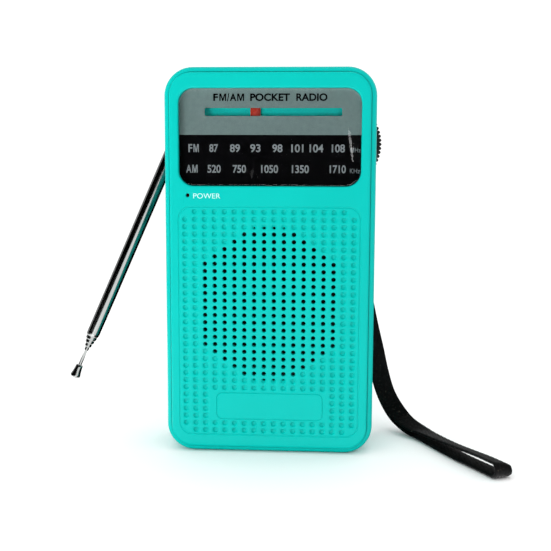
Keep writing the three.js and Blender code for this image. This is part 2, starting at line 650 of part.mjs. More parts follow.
/** Places along the upper strand, through the fold at the far end, and back along the lower strand. */
function strapStations() {
  const middle = new THREE.CatmullRomCurve3(STRAP_ROUTE, false, 'centripetal');
  const station = (point, along, across) => (
    { point, across, rise: at(0, 0, 0).crossVectors(along, across) }
  );
  const upper = [];
  const lower = [];
  let end = null;
  for (let i = 0; i <= STRAP.stations; i += 1) {
    const share = i / STRAP.stations;
    const centre = middle.getPointAt(share);
    const along = middle.getTangentAt(share);
    const level = at(1, 0, 0).addScaledVector(along, -along.x).normalize();
    const lift = at(0, 0, 0).crossVectors(along, level);
    const lean = THREE.MathUtils.degToRad(eased(STRAP_LEAN, share));
    const leaning = level.clone().applyAxisAngle(along, -lean);
    const half = eased(STRAP_SPREAD, share) / 2;
    upper.push(station(centre.clone().addScaledVector(lift, half), along, leaning));
    lower.unshift(station(centre.clone().addScaledVector(lift, -half), along.clone().negate(), level));
    end = { centre, level, lift, leaning, half };
  }
  const fold = [];
  for (let i = 1; i < STRAP.foldSteps; i += 1) {
    const share = i / STRAP.foldSteps;
    const lift = end.lift.clone().applyAxisAngle(end.level, Math.PI * share);
    const along = at(0, 0, 0).crossVectors(end.level, lift);
    const across = end.leaning.clone().lerp(end.level, share);
    across.addScaledVector(along, -across.dot(along)).normalize();
    fold.push(station(end.centre.clone().addScaledVector(lift, end.half), along, across));
  }
  return [...upper, ...fold, ...lower];
}

/** Flat webbing with softened edges, as one closed ribbon with a ring of corners at every station. */
function wristStrap() {
  const [w, t, edge] = [STRAP.width / 2, STRAP.thickness / 2, STRAP.edge];
  const section = [
    [w, -t / 2], [w, t / 2], [w - edge, t], [edge - w, t],
    [-w, t / 2], [-w, -t / 2], [edge - w, -t], [w - edge, -t],
  ];
  const sides = section.length;
  const stations = strapStations();
  const corners = stations.flatMap(({ point, across, rise }) => (
    section.map(([u, v]) => point.clone().addScaledVector(across, u).addScaledVector(rise, v))
  ));
  const faces = [];
  const last = (stations.length - 1) * sides;
  for (let ring = 0; ring < last; ring += sides) {
    for (let k = 0; k < sides; k += 1) {
      const [a, b] = [ring + k, ring + ((k + 1) % sides)];
      faces.push(a, b, b + sides, a, b + sides, a + sides);
    }
  }
  for (let k = 1; k < sides - 1; k += 1) {
    faces.push(0, k + 1, k, last, last + k, last + k + 1);
  }
  const ribbon = new THREE.BufferGeometry().setFromPoints(corners);
  ribbon.setIndex(faces);
  ribbon.computeVertexNormals();
  return ribbon;
}

function strapFerrule() {
  const { width, depth, height } = FERRULE;
  const z = STRAP.top + GAP;
  const sleeve = { depth: height, bevelEnabled: false, curveSegments: 3 };
  const clamp = new THREE.ExtrudeGeometry(roundedRect(width, depth, 1.6), sleeve);
  return clamp.translate(STRAP_ROUTE[0].x, STRAP.y, z);
}

/** The thin cord that ties the ferrule to the pin in the rear cover. */
function strapCord() {
  const foot = STRAP.top + GAP + FERRULE.height + GAP;
  const pinY = BACK - 1.9;
  const wrap = ANCHOR.pin + GAP + 0.55;
  const x = ANCHOR.x;
  const route = [
    at(x, STRAP.y - 1.1, foot), at(x, STRAP.y - 1.4, foot + 1.4), at(x, pinY + wrap, ANCHOR.z - 1),
    at(x, pinY + wrap * 0.71, ANCHOR.z + wrap * 0.71), at(x, pinY, ANCHOR.z + wrap),
    at(x, pinY - wrap * 0.71, ANCHOR.z + wrap * 0.71), at(x, pinY - wrap, ANCHOR.z),
    at(x, pinY - wrap * 0.4, ANCHOR.z - wrap * 1.1), at(x, pinY + wrap * 0.5, ANCHOR.z - wrap * 1.6),
  ];
  const section = new THREE.Shape();
  section.absarc(0, 0, 0.55, 0, 2 * Math.PI);
  const path = new THREE.CatmullRomCurve3(route, false, 'centripetal');
  return new THREE.ExtrudeGeometry(section, { steps: 20, extrudePath: path, curveSegments: 4 });
}

const pinX = ANCHOR.width / 2 - GAP;
const strapPin = barX(ANCHOR.pin, ANCHOR.x - pinX, ANCHOR.x + pinX, BACK - 1.9, ANCHOR.z, 12);
place('strap_pin', strapPin, finish.steel());
place('strap_cord', strapCord(), finish.webbing());
place('strap_ferrule', strapFerrule(), finish.black());
place('wrist_strap', wristStrap(), finish.webbing());

export default radio;
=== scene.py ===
"""Transistor pocket radio: the looks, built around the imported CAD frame.

The frame is in metres with +Z up. The front of the radio faces -Y, and +X is the tuning-wheel side.
Shapes are drawn in millimetres and scaled by MM when they become meshes.
"""

import math

import bmesh
import bpy
from mathutils import Matrix, Vector
from mathutils.geometry import tessellate_polygon


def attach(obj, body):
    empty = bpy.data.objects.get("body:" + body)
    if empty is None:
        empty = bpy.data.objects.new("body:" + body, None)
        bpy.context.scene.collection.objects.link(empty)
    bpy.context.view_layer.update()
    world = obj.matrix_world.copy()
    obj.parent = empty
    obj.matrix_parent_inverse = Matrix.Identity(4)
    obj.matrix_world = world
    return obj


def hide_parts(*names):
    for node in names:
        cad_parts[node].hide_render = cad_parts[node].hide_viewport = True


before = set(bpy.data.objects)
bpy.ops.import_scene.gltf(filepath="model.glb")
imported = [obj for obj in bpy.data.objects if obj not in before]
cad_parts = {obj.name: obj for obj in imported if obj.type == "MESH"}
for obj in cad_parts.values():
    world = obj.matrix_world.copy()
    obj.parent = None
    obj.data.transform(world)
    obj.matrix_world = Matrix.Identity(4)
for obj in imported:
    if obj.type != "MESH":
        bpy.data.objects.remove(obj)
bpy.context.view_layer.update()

MM = 0.001

# ---- sizes, in millimetres
BODY = {"width": 65.0, "height": 120.0, "corner": 8.8, "wall": 1.6}
FRONT, BACK = -14.0, 14.0
MID_Z = BODY["height"] / 2
GAP = 0.3
SUPPORT = 0.3        # width of the flat band that keeps shading level beside a rounded edge
COVER = {"inset": 1.74, "corner": 6.9, "plate": 2.0, "skirt_end": -8.4, "skirt_wall": 1.4, "edge": 0.8}
RIM = {"front": -13.0, "inset": 1.3, "roll": 2.5}
WINDOW = {"width": 55.7, "height": 29.5, "z": 98.7, "corner": 4.6, "lip": 0.55}
PANEL = {"width": 55.9, "low": 5.8, "high": 77.6, "corner": 3.9, "groove": 0.56, "depth": 0.2}
BADGE = {"left": -16.3, "right": 16.9, "low": 10.95, "high": 19.33, "corner": 1.8, "groove": 0.4}
GRID = {
    "x": 3.06, "z": 2.295, "columns": range(-9, 9), "rows": range(-12, 19), "centre": 47.4,
    "reach": 27.25, "low": 6.2, "high": 77.1,
}
HOLES = {"radius": 0.7, "columns": 14, "shortest": 12, "longest": 20}
DIMPLE = {"radius": 0.88, "depth": 0.55}
PART_HOLES = {-2: 0.3, -1: 0.44, 0: 0.44, 1: 0.3}
LED_HOLE = {"x": -25.1, "z": 81.1, "radius": 0.6}
LENS = {"width": 55.1, "height": 28.9, "corner": 4.3, "front": -13.2, "back": -12.0, "edge": 0.1}
CARD = {"width": 57.3, "height": 31.1, "corner": 3.0, "front": -11.7, "back": -11.2}
SLOT = {"x": 1.0, "z": 106.4, "width": 41.9, "height": 2.4}
PRINT_EDGE = 99.5
POINTER = {"x": -4.45, "width": 3.1}
PULLEY = {"x": -24.6, "y": -7.2, "z": 106.5}
WHEEL = {"x": 20.3, "z": 96.9, "radius": 14.0, "drum": 12.1, "teeth": 68, "front": -6.2, "back": -2.9}
VOLUME = {"x": -25.6, "z": 92.0, "radius": 8.0, "teeth": 36, "front": 2.3, "back": 5.5}
BAND = {"y": 3.2, "z": 67.8}
JACK = {"y": 2.9, "z": 73.0}
SPEAKER_FRONT = -11.7
CELL = {"length": 50.5, "radius": 7.25, "x": 3.4, "y": 4.8, "z": (11.5, 26.3)}
DOOR = {"left": -21.7, "right": 28.7, "bottom": 4.9, "top": 33.6}
STEP = {"x": -23.8, "y": 8.2, "bottom": 5.5, "wall": 1.5}
AERIAL = {"x": -26.3, "y": 11.6, "z": 113.0, "swing": 24.1, "nose": 88.8, "collar": 1.4}
SECTIONS = ((2.2, 2.0, 6.0), (1.85, 1.65, 8.0), (1.5, 1.3, 11.0), (1.15, 0.95, 14.0))
CASE_SCREWS = ((-27.8, 77.6, STEP["y"]), (27.2, 80.0, BACK), (-27.2, 37.5, STEP["y"]), (27.2, 37.5, BACK))
BOARD_SCREWS = ((-19.5, 79.5), (16.5, 79.5))
ANCHOR = {"x": 24.0, "z": 101.0, "width": 7.0, "depth": 4.2, "pin": 0.8, "y": BACK - 1.9}


# ---- camera
def point_camera():
    """A 59 mm lens, level with the upper half of the case and looking a little down and left."""
    azimuth, elevation, roll = (math.radians(a) for a in (-3.58, -6.956, 0.218))
    forward = Vector((
        math.sin(azimuth) * math.cos(elevation), math.cos(azimuth) * math.cos(elevation), math.sin(elevation)
    ))
    level = forward.cross(Vector((0, 0, 1))).normalized()
    upright = level.cross(forward)
    right = level * math.cos(roll) + upright * math.sin(roll)
    up = right.cross(forward)
    data = bpy.data.cameras.new("camera")
    data.sensor_width, data.lens = 36.0, 58.8
    data.clip_start = 0.01
    camera = bpy.data.objects.new("camera", data)
    turn = Matrix((right, up, -forward)).transposed().to_4x4()
    camera.matrix_world = Matrix.Translation((0.01923, -0.28875, 0.0902)) @ turn
    bpy.context.scene.collection.objects.link(camera)
    bpy.context.scene.camera = camera


point_camera()


# ---- mesh helpers
class Skin:
    """Points in millimetres and faces by index, gathered into one closed mesh."""

    def __init__(self):
        self.points = []
        self.faces = []
        self.paints = []
        self.paint = 0

    def loop(self, points):
        start = len(self.points)
        self.points += [tuple(p) for p in points]
        return list(range(start, len(self.points)))

    def face(self, corners):
        self.faces.append(tuple(corners))
        self.paints.append(self.paint)

    def bridge(self, first, second):
        """A band of faces between two loops. A loop of one point is a pole."""
        count = max(len(first), len(second))
        for i in range(count):
            j = (i + 1) % count
            if len(first) == 1:
                self.face((first[0], second[j], second[i]))
            elif len(second) == 1:
                self.face((first[i], first[j], second[0]))
            else:
                self.face((first[i], first[j], second[j], second[i]))

    def fill(self, *loops, axes=(0, 2)):
        """A flat face inside the first loop, with the other loops as holes."""
        a, b = axes
        drawn = [[Vector((self.points[i][a], self.points[i][b], 0)) for i in loop] for loop in loops]
        order = [i for loop in loops for i in loop]
        for corners in tessellate_polygon(drawn):
            self.face(order[k] for k in corners)

    def tower(self, outline, profile):
        """Bands between outlines drawn in X and Z: profile holds (inset, y) pairs. Returns both end loops."""
        loops = [self.loop((x, y, z) for x, z in outline(inset)) for inset, y in profile]
        for first, second in zip(loops, loops[1:]):
            self.bridge(first, second)
        return loops[0], loops[-1]

    def slab(self, outline, profile):
        """A tower closed by a flat face at both ends."""
        for end in self.tower(outline, profile):
            self.fill(end)
        return self

    def move(self, matrix):
        self.points = [tuple(matrix @ Vector(p)) for p in self.points]
        return self

    def add(self, other):
        start = len(self.points)
        self.points += other.points
        self.faces += [tuple(i + start for i in corners) for corners in other.faces]
        self.paints += other.paints
        return self


def bend(start, end, leaves=0, steps=4):
    """Quarter of an ellipse between (inset, y) pairs, leaving the first along inset (0) or along y (1)."""
    made = []
    for i in range(steps + 1):
        turn = math.pi / 2 * i / steps
        shares = [math.sin(turn), 1 - math.cos(turn)]
        if leaves:
            shares.reverse()
        made.append(tuple(s + (e - s) * share for s, e, share in zip(start, end, shares)))
    return made


def rounded_rect(width, height, corner, x=0.0, z=0.0, steps=10):
    """Gives a function of the inset that draws the outline as (x, z) pairs."""
    def outline(inset=0.0):
        points = []
        for turn, (side, rise) in enumerate(((1, -1), (1, 1), (-1, 1), (-1, -1))):
            centre_x, centre_z = x + side * (width / 2 - corner), z + rise * (height / 2 - corner)
            for i in range(steps + 1):
                angle = math.pi / 2 * (turn - 1 + i / steps)
                reach = corner - inset
                points.append((centre_x + reach * math.cos(angle), centre_z + reach * math.sin(angle)))
        return points
    return outline


def circle(radius, x=0.0, z=0.0, sides=32):
    """Gives a function of the inset that draws a circle as (x, z) pairs."""
    def outline(inset=0.0):
        turns = [2 * math.pi * i / sides for i in range(sides)]
        return [(x + (radius - inset) * math.cos(t), z + (radius - inset) * math.sin(t)) for t in turns]
    return outline


def box(x0, x1, y0, y1, z0, z1, edge=0.2):
    """A block with softened edges all round."""
    outline = rounded_rect(x1 - x0, z1 - z0, edge * 1.5, (x0 + x1) / 2, (z0 + z1) / 2, steps=3)
    front = bend((edge, y0), (0, y0 + edge), steps=2)
    back = bend((0, y1 - edge), (edge, y1), leaves=1, steps=2)
    return Skin().slab(outline, front + back)


def turned(profile, sides=48):
    """A turned piece about +Y: (radius, station) pairs, from pole to pole or round a closed ring."""
    skin = Skin()
    loops = []
    for radius, y in profile:
        flat = [(0.0, 0.0)] if radius == 0 else circle(radius, sides=sides)()
        loops.append(skin.loop((x, y, z) for x, z in flat))
    if profile[0] == profile[-1]:
        loops[-1] = loops[0]
    for first, second in zip(loops, loops[1:]):
        skin.bridge(first, second)
    return skin


def disc(radius, start, end, chamfer=0.0):
    """The profile of a plain turned disc or rod, for turned()."""
    flat = radius - chamfer
    if not chamfer:
        return [(0, start), (radius, start), (radius, end), (0, end)]
    half = [(0, start), (flat, start), (radius, start + chamfer)]
    return half + [(radius, end - chamfer), (flat, end), (0, end)]


def sideways(skin, x=0.0, y=0.0, z=0.0):
    """Turns a piece drawn about +Y to lie along +X, and puts its start at a point."""
    skin.move(Matrix.Rotation(math.radians(-90), 4, "Z"))
    return skin.move(Matrix.Translation((x, y, z)))


def swept(rings):
    """A closed skin through rings of points along a line."""
    skin = Skin()
    loops = [skin.loop(ring) for ring in rings]
    for first, second in zip(loops, loops[1:]):
        skin.bridge(first, second)
    skin.face(loops[0])
    skin.face(loops[-1])
    return skin


def direction(line, i):
    """The way a line of points runs at one of them."""
    return (line[min(i + 1, len(line) - 1)] - line[max(i - 1, 0)]).normalized()


def link(name, data):
    piece = bpy.data.objects.new(name, data)
    bpy.context.scene.collection.objects.link(piece)
    return piece


def to_mesh(name, skin):
    mesh = bpy.data.meshes.new(name)
    mesh.from_pydata([Vector(p) * MM for p in skin.points], [], skin.faces)
    mesh.polygons.foreach_set("material_index", skin.paints)
    work = bmesh.new()
    work.from_mesh(mesh)
    bmesh.ops.remove_doubles(work, verts=work.verts, dist=1e-7)
    bmesh.ops.recalc_face_normals(work, faces=work.faces)
    work.to_mesh(mesh)
    work.free()
    return mesh


def solid(shape):
    return to_mesh("solid", shape) if isinstance(shape, Skin) else shape


def piece_from(name, shape, look_names, body, nodes=(), crease=35):
    """A shaded piece with its looks, tied to its CAD body, with the CAD nodes it stands for hidden."""
    mesh = solid(shape)
    mesh.name = name
    mesh.polygons.foreach_set("use_smooth", [True] * len(mesh.polygons))
    mesh.set_sharp_from_angle(angle=math.radians(crease))
    piece = link(name, mesh)
    for look_name in look_names.split():
        mesh.materials.append(looks[look_name])
    weighted = piece.modifiers.new("normals", "WEIGHTED_NORMAL")
    weighted.keep_sharp = True
    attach(piece, body)
    if nodes:
        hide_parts(*nodes)
    return piece


def baked(piece):
    """The mesh that a piece's modifiers or letters give; the piece itself goes."""
    view = bpy.context.evaluated_depsgraph_get()
    result = bpy.data.meshes.new_from_object(piece.evaluated_get(view))
    bpy.data.objects.remove(piece)
    return result


def combine(operation, shape, others):
    """Applies exact booleans one after the other and returns the resulting mesh."""
    for other in others:
        base, tool = link("base", solid(shape)), link("tool", solid(other))
        step = base.modifiers.new("cut", "BOOLEAN")
        step.operation, step.object, step.solver = operation, tool, "EXACT"
        step.use_self = True
        shape = baked(base)
        bpy.data.objects.remove(tool)
    return shape


def join(shape, *others):
    return combine("UNION", shape, others)


def cut(shape, *others):
    return combine("DIFFERENCE", shape, others)


def soften(mesh, width, angle=40, segments=2):
    """Rounds the sharp edges of a cut mesh."""
    piece = link("soften", mesh)
    bevel = piece.modifiers.new("bevel", "BEVEL")
    bevel.width, bevel.segments = width * MM, segments
    bevel.limit_method, bevel.angle_limit = "ANGLE", math.radians(angle)
    bevel.miter_outer = "MITER_ARC"
    bevel.use_clamp_overlap = True
    return baked(piece)


# ---- looks
def srgb(red, green, blue):
    """An 8-bit display colour as linear light."""
    def linear(value):
        value /= 255
        return value / 12.92 if value <= 0.04045 else ((value + 0.055) / 1.055) ** 2.4
    return (linear(red), linear(green), linear(blue), 1.0)


def scaled(colour, factor):
    return tuple(min(1.0, c * factor) for c in colour[:3]) + (1.0,)


class Look:
    """A material whose nodes are added and wired by short calls."""

    def __init__(self, name):
        self.material = bpy.data.materials.new(name)
        self.material.use_nodes = True
        self.tree = self.material.node_tree
        self.shader = self.tree.nodes["Principled BSDF"]
        self.place = self.node("ShaderNodeTexCoord", {}).outputs["Object"]

    def feed(self, socket, value):
        """Links a socket to another one, or gives it a plain value."""
        if isinstance(value, bpy.types.NodeSocket):
            self.tree.links.new(value, socket)
        else:
            socket.default_value = value

    def node(self, kind, inputs, **settings):
        made = self.tree.nodes.new(kind)
        for key, value in settings.items():
            setattr(made, key, value)
        for key, value in inputs.items():
            self.feed(made.inputs[key], value)
        return made

    def set(self, **values):
        """Sets or feeds the shader's own sockets; an underscore stands for a space."""
        for key, value in values.items():
            self.feed(self.shader.inputs[key.replace("_", " ")], value)
        return self

    def noise(self, scale, detail=3.0, stretch=None):
        place = self.place
        if stretch:
            place = self.node("ShaderNodeMapping", {"Vector": place, "Scale": stretch}).outputs["Vector"]
        inputs = {"Vector": place, "Scale": scale, "Detail": detail}
        return self.node("ShaderNodeTexNoise", inputs).outputs["Fac"]

    def wave(self, scale, distortion, way):
        inputs = {"Vector": self.place, "Scale": scale, "Distortion": distortion}
        return self.node("ShaderNodeTexWave", inputs, bands_direction=way).outputs["Fac"]

    def ramp(self, value, stops):
        node = self.node("ShaderNodeValToRGB", {"Fac": value})
        elements = node.color_ramp.elements
        while len(elements) < len(stops):
            elements.new(1.0)
        for element, (position, colour) in zip(elements, stops):
            element.position, element.color = position, colour
        return node.outputs["Color"]

    def mix(self, factor, first, second):
        node = self.node("ShaderNodeMix", {}, data_type="RGBA")
        for socket, value in (("Factor", factor), (6, first), (7, second)):
            self.feed(node.inputs[socket], value)
        return node.outputs[2]

    def mottle(self, colour, spread, scale=60.0, stretch=None):
        """The colour with a slow drift from a little darker to a little lighter."""
        stops = [(0.3, scaled(colour, 1 - spread)), (0.7, scaled(colour, 1 + spread))]
        return self.set(Base_Color=self.ramp(self.noise(scale, 4.0, stretch), stops))

    def gloss(self, low, high, scale=220.0, stretch=None):
        """Roughness that drifts between two values."""
        return self.set(Roughness=self.node("ShaderNodeMapRange", {
            "Value": self.noise(scale, 5.0, stretch), "From Min": 0.3, "From Max": 0.7,
            "To Min": low, "To Max": high,
        }).outputs["Result"])

    def bump(self, height, depth):
        """Raises the surface by depth millimetres where height is 1."""
        node = self.node("ShaderNodeBump", {"Height": height, "Strength": 1.0, "Distance": depth * MM})
        return self.set(Normal=node.outputs["Normal"])


def plastic(name, colour, gloss, spread=0.03, grain=0.004, grain_scale=2600.0, specular=0.5):
    look = Look(name).mottle(srgb(*colour), spread).gloss(gloss - 0.05, gloss + 0.06)
    look.bump(look.noise(grain_scale, 4.0), grain)
    return look.set(Specular_IOR_Level=specular).material


def metal(name, colour, gloss, stretch=None, grain=0.001):
    look = Look(name).mottle(srgb(*colour), 0.03, 150.0).gloss(gloss * 0.7, gloss * 1.4, 500.0, stretch)
    look.bump(look.noise(1800.0, 5.0, stretch), grain)
    return look.set(Metallic=1.0).material


def lens_look():
    """Clear acrylic that lets the lamps through to the dial behind it."""
    look = Look("clear_acrylic").gloss(0.0, 0.012, 90.0)
    look.set(Base_Color=(0.96, 0.98, 0.98, 1), IOR=1.49, Transmission_Weight=1.0)
    path = look.node("ShaderNodeLightPath", {}).outputs["Is Shadow Ray"]
    clear = look.node("ShaderNodeBsdfTransparent", {}).outputs["BSDF"]
    blend = look.node("ShaderNodeMixShader", {0: path, 1: look.shader.outputs["BSDF"], 2: clear})
    look.feed(look.tree.nodes["Material Output"].inputs["Surface"], blend.outputs["Shader"])
    return look.material


def ink(name, colour):
    """Screen-printed ink with slight pinholes in its density."""
    look = Look(name).mottle(srgb(*colour), 0.06, 900.0).gloss(0.35, 0.48)
    look.bump(look.noise(3000.0), 0.002)
    return look.set(Specular_IOR_Level=0.05).material


def webbing_look():
    """Black nylon yarn: dull, with a faint sheen and a lighter fleck on the crowns."""
    look = Look("black_webbing").gloss(0.62, 0.85, 900.0)
    yarn = look.noise(1500.0, 2.0)
    fleck = look.ramp(yarn, [
        (0.42, srgb(2, 2, 3)), (0.55, srgb(5, 5, 6)), (0.66, srgb(14, 13, 12)), (0.76, srgb(58, 54, 46)),
    ])
    look.set(Base_Color=fleck)
    look.bump(look.noise(5200.0, 2.0, (1.0, 1.0, 0.35)), 0.03)
    return look.set(Sheen_Weight=0.03, Sheen_Roughness=0.4, Specular_IOR_Level=0.12).material


looks = {
    "teal": plastic("teal_abs", (0, 184, 175), 0.36, 0.02, 0.003, specular=0.05),
    "black": plastic("black_abs", (11, 11, 12), 0.42, 0.15, 0.006, specular=0.3),
    "soft_black": plastic("black_nylon", (17, 17, 18), 0.55, 0.2, 0.01, specular=0.3),
    "nylon": plastic("white_nylon", (222, 220, 210), 0.5, 0.02),
    "red": plastic("red_polystyrene", (236, 72, 54), 0.3, 0.08),
    # painted light: the slot plate is the case's teal, painted lighter to make up for the shade behind the
    # card
    "shade_lifted_teal": plastic("shade_lifted_teal_abs", (24, 250, 240), 0.4, 0.02, specular=0.1),
    "chrome": metal("dark_chrome", (124, 126, 125), 0.14, (1.0, 1.0, 0.02)),
    "nickel": metal("nickel_plate", (190, 190, 186), 0.22),
    "steel": metal("zinc_steel", (168, 168, 166), 0.34, grain=0.004),
    "black_steel": metal("black_steel", (44, 44, 46), 0.5, grain=0.004),
    "ferrite": plastic("ferrite", (52, 50, 52), 0.75, 0.25, 0.02, 1500.0),
    "paper": plastic("paper_cone", (44, 41, 36), 0.85, 0.3, 0.05, 1400.0, specular=0.2),
    "cell": plastic("printed_sleeve", (44, 84, 140), 0.25, 0.08, 0.002),
    "lens": lens_look(),
    "grey_ink": ink("grey_ink", (149, 172, 170)),
    "black_ink": ink("black_ink", (7, 6, 9)),
    "title_ink": ink("title_ink", (10, 10, 12)),
    "number_ink": ink("number_ink", (176, 184, 188)),
    "white_ink": ink("white_ink", (196, 236, 231)),
    "webbing": webbing_look(),
}

# ---- wrist strap
STRAP = {"width": 6.3, "thickness": 1.1, "ribs": 11, "per_rib": 3, "weave": 0.55}
STRAP_ROUTE = [
    (24.2, 16.9, 88), (25.1, 16.9, 76), (26.9, 16.9, 63), (29.4, 16.9, 50), (32, 16.9, 37.5),
    (34.4, 16.9, 27.5), (36.1, 16.9, 20), (38.2, 16.6, 13), (40.6, 15.5, 8.3), (43.4, 12.9, 4.9),
    (46.5, 8.7, 3), (49.9, 5.1, 1.95), (53.2, -1.2, 1.78), (56.3, -7.8, 1.9), (59.4, -14.2, 2.1),
    (62.4, -19.7, 2.25), (65.5, -25, 2.35), (68.9, -31.2, 2.4),
]
STRAP_SPREAD = [(0, 2.3), (0.5, 2.3), (0.6, 1.6), (0.66, 1.6), (0.98, 3.4), (1, 3.4)]
STRAP_LEAN = [(0, 0), (0.6, 0), (0.86, 14), (1, 14)]
CLAMP = {"low": 88.3, "height": 7.0}


def along_table(table, share):
    """Eased value between the (share, value) pairs of a table."""
    for (start, first), (end, second) in zip(table, table[1:]):
        if share <= end:
            part = (share - start) / (end - start)
            return first + (second - first) * part * part * (3 - 2 * part)
    return table[-1][1]


def smooth_line(points, spacing):
    """Evenly spaced points along a centripetal Catmull-Rom curve through the given ones."""
    knots = [Vector(p) for p in points]
    knots = [2 * knots[0] - knots[1], *knots, 2 * knots[-1] - knots[-2]]
    dense = []
    for a, b, c, d in zip(knots, knots[1:], knots[2:], knots[3:]):
        t1 = math.sqrt((b - a).length)
        t2 = t1 + math.sqrt((c - b).length)
        t3 = t2 + math.sqrt((d - c).length)
        for i in range(24):
            t = t1 + (t2 - t1) * i / 24
            ab, bc, cd = a.lerp(b, t / t1), b.lerp(c, (t - t1) / (t2 - t1)), c.lerp(d, (t - t2) / (t3 - t2))
            dense.append(ab.lerp(bc, t / t2).lerp(bc.lerp(cd, (t - t1) / (t3 - t1)), (t - t1) / (t2 - t1)))
    dense.append(knots[-2])
    return evenly(dense, spacing)


def evenly(line, spacing):
    """The same line with points about one spacing apart."""
    travelled = [0.0]
    for first, second in zip(line, line[1:]):
        travelled.append(travelled[-1] + (second - first).length)
    count = max(2, round(travelled[-1] / spacing))
    made, k = [], 0
    for i in range(count + 1):
        goal = travelled[-1] * i / count
        while k < len(line) - 2 and travelled[k + 1] < goal:
            k += 1
        share = (goal - travelled[k]) / (travelled[k + 1] - travelled[k])
        made.append(line[k].lerp(line[k + 1], share))
    return made


def strap_loop(spacing):
    """The loop's middle line with the direction across the webbing at each point."""
    middle = smooth_line(STRAP_ROUTE, spacing)
    last = len(middle) - 1
    upper, lower = [], []
    for i, point in enumerate(middle):
        along = direction(middle, i)
        level = (Vector((1, 0, 0)) - along * along.x).normalized()
        rise = along.cross(level)
        lean = math.radians(along_table(STRAP_LEAN, i / last))
        leaning = level * math.cos(lean) - rise * math.sin(lean)
        half = along_table(STRAP_SPREAD, i / last) / 2
        upper.append((point + rise * half, leaning))
        lower.append((point - rise * half, level))
    steps = round(math.pi * half / spacing)
    turn = []
    for i in range(1, steps):
        angle = math.pi * i / steps
        point = middle[-1] + along * half * math.sin(angle) + rise * half * math.cos(angle)
        turn.append((point, leaning.lerp(level, i / steps)))
    return upper + turn + lower[::-1]


def wrist_strap():
    """A woven ribbon: the warp runs in ribs along it, and each crown stands proud where it passes over."""
    loop = strap_loop(STRAP["weave"])
    line = [point for point, _ in loop]
    half, thick, ribs = STRAP["width"] / 2, STRAP["thickness"] / 2, STRAP["ribs"]
    steps = ribs * STRAP["per_rib"]
    rings = []
    for i, (point, across) in enumerate(loop):
        along = direction(line, i)
        across = (across - along * across.dot(along)).normalized()
        rise = along.cross(across)
        ring = []
        for face in (1, -1):
            for k in range(steps):
                share = k / steps
                u = face * (1 - 2 * share)
                rib = abs(math.sin(math.pi * share * ribs))
                over = 1.0 if (int(share * ribs) + i // 2) % 2 else 0.25
                edge = math.sqrt(max(0.0, 1 - abs(u) ** 8))
                v = face * thick * edge * (0.8 + 0.2 * rib * over)
                ring.append(point + across * half * u + rise * v)
        rings.append(ring)
    strap = piece_from("strap_webbing", swept(rings), "webbing", "case", ["wrist_strap"], 60)
    return strap, [list(point * MM) for point in line[::3]]


def strap_clamp():
    """The ferrule, with a groove round it near each end."""
    outline = rounded_rect(7.6, 4.6, 1.6, *STRAP_ROUTE[0][:2], steps=8)
    profile = [
        (0.3, 0), (0.08, 0.1), (0, 0.35), (0, 1.1), (0.18, 1.25), (0.18, 1.45), (0, 1.6), (0, 5.3),
        (0.18, 5.45), (0.18, 5.65), (0, 5.8), (0.06, 6.4), (0.25, 6.8), (0.6, 7.0),
    ]
    skin = Skin()
    loops = [skin.loop((x, y, CLAMP["low"] + z) for x, y in outline(inset)) for inset, z in profile]
    for first, second in zip(loops, loops[1:]):
        skin.bridge(first, second)
    for end in (loops[0], loops[-1]):
        skin.fill(end, axes=(0, 1))
    return piece_from("strap_clamp", skin, "soft_black", "case", ["strap_ferrule"])


def strap_tie():
    """A three-strand cord from the ferrule up and round the pin."""
    x, y, z = (ANCHOR[axis] for axis in "xyz")
    wrap = ANCHOR["pin"] + GAP + 0.55
    foot = CLAMP["low"] + CLAMP["height"] + GAP
    line = smooth_line([
        (x, 15.8, foot), (x, 15.5, foot + 1.4), (x, y + wrap, z - 1),
        (x, y + wrap * 0.71, z + wrap * 0.71), (x, y, z + wrap), (x, y - wrap * 0.71, z + wrap * 0.71),
        (x, y - wrap, z), (x, y - wrap * 0.4, z - wrap * 1.1), (x, y + wrap * 0.5, z - wrap * 1.6),
    ], 0.18)
    level, sides = Vector((1, 0, 0)), 24
    rings = []
    for i, point in enumerate(line):
        rise = direction(line, i).cross(level).normalized()
        ring = []
        for k in range(sides):
            turn = 2 * math.pi * k / sides
            lay = 0.5 + 0.05 * abs(math.sin(1.5 * turn + i * 0.22))
            ring.append(point + level * lay * math.cos(turn) + rise * lay * math.sin(turn))
        rings.append(ring)
    return piece_from("strap_tie", swept(rings), "webbing", "case", ["strap_cord"], crease=70)


def strap_bar():
    length = ANCHOR["width"] - 2 * GAP
    bar = turned(disc(ANCHOR["pin"], 0, length, 0.15))
    sideways(bar, ANCHOR["x"] - length / 2, ANCHOR["y"], ANCHOR["z"])
    piece_from("strap_bar", bar, "steel", "case", ["strap_pin"])


strap, strap_line = wrist_strap()
on_strap = [strap_clamp(), strap_tie()]
strap_bar()


# ---- front cover
CELL_RIM = ((4, 2), (4, 1), (4, 0), (3, 0), (2, 0), (1, 0), (0, 0), (0, 1),
            (0, 2), (0, 3), (0, 4), (1, 4), (2, 4), (3, 4), (4, 4), (4, 3))


def hole_cells():
    """Cells with a sound hole: taller columns towards the middle."""
    cells = set()
    for column in range(HOLES["columns"]):
        from_edge = min(column, HOLES["columns"] - 1 - column)
        count = min(HOLES["longest"], HOLES["shortest"] + 2 * from_edge)
        cells |= {(column - HOLES["columns"] // 2, row) for row in range(1 - count // 2, count // 2 + 1)}
    return cells


def grille_cells():
    """Every cell of the panel, without its corners and without the badge's place."""
    columns, rows = GRID["columns"], GRID["rows"]
    cells = {(column, row) for column in columns for row in rows}
    cells -= {(column, row) for column in (columns[0], columns[-1]) for row in (rows[0], rows[-1])}
    return cells - {(column, row) for column in range(-6, 6) for row in range(13, 17)}


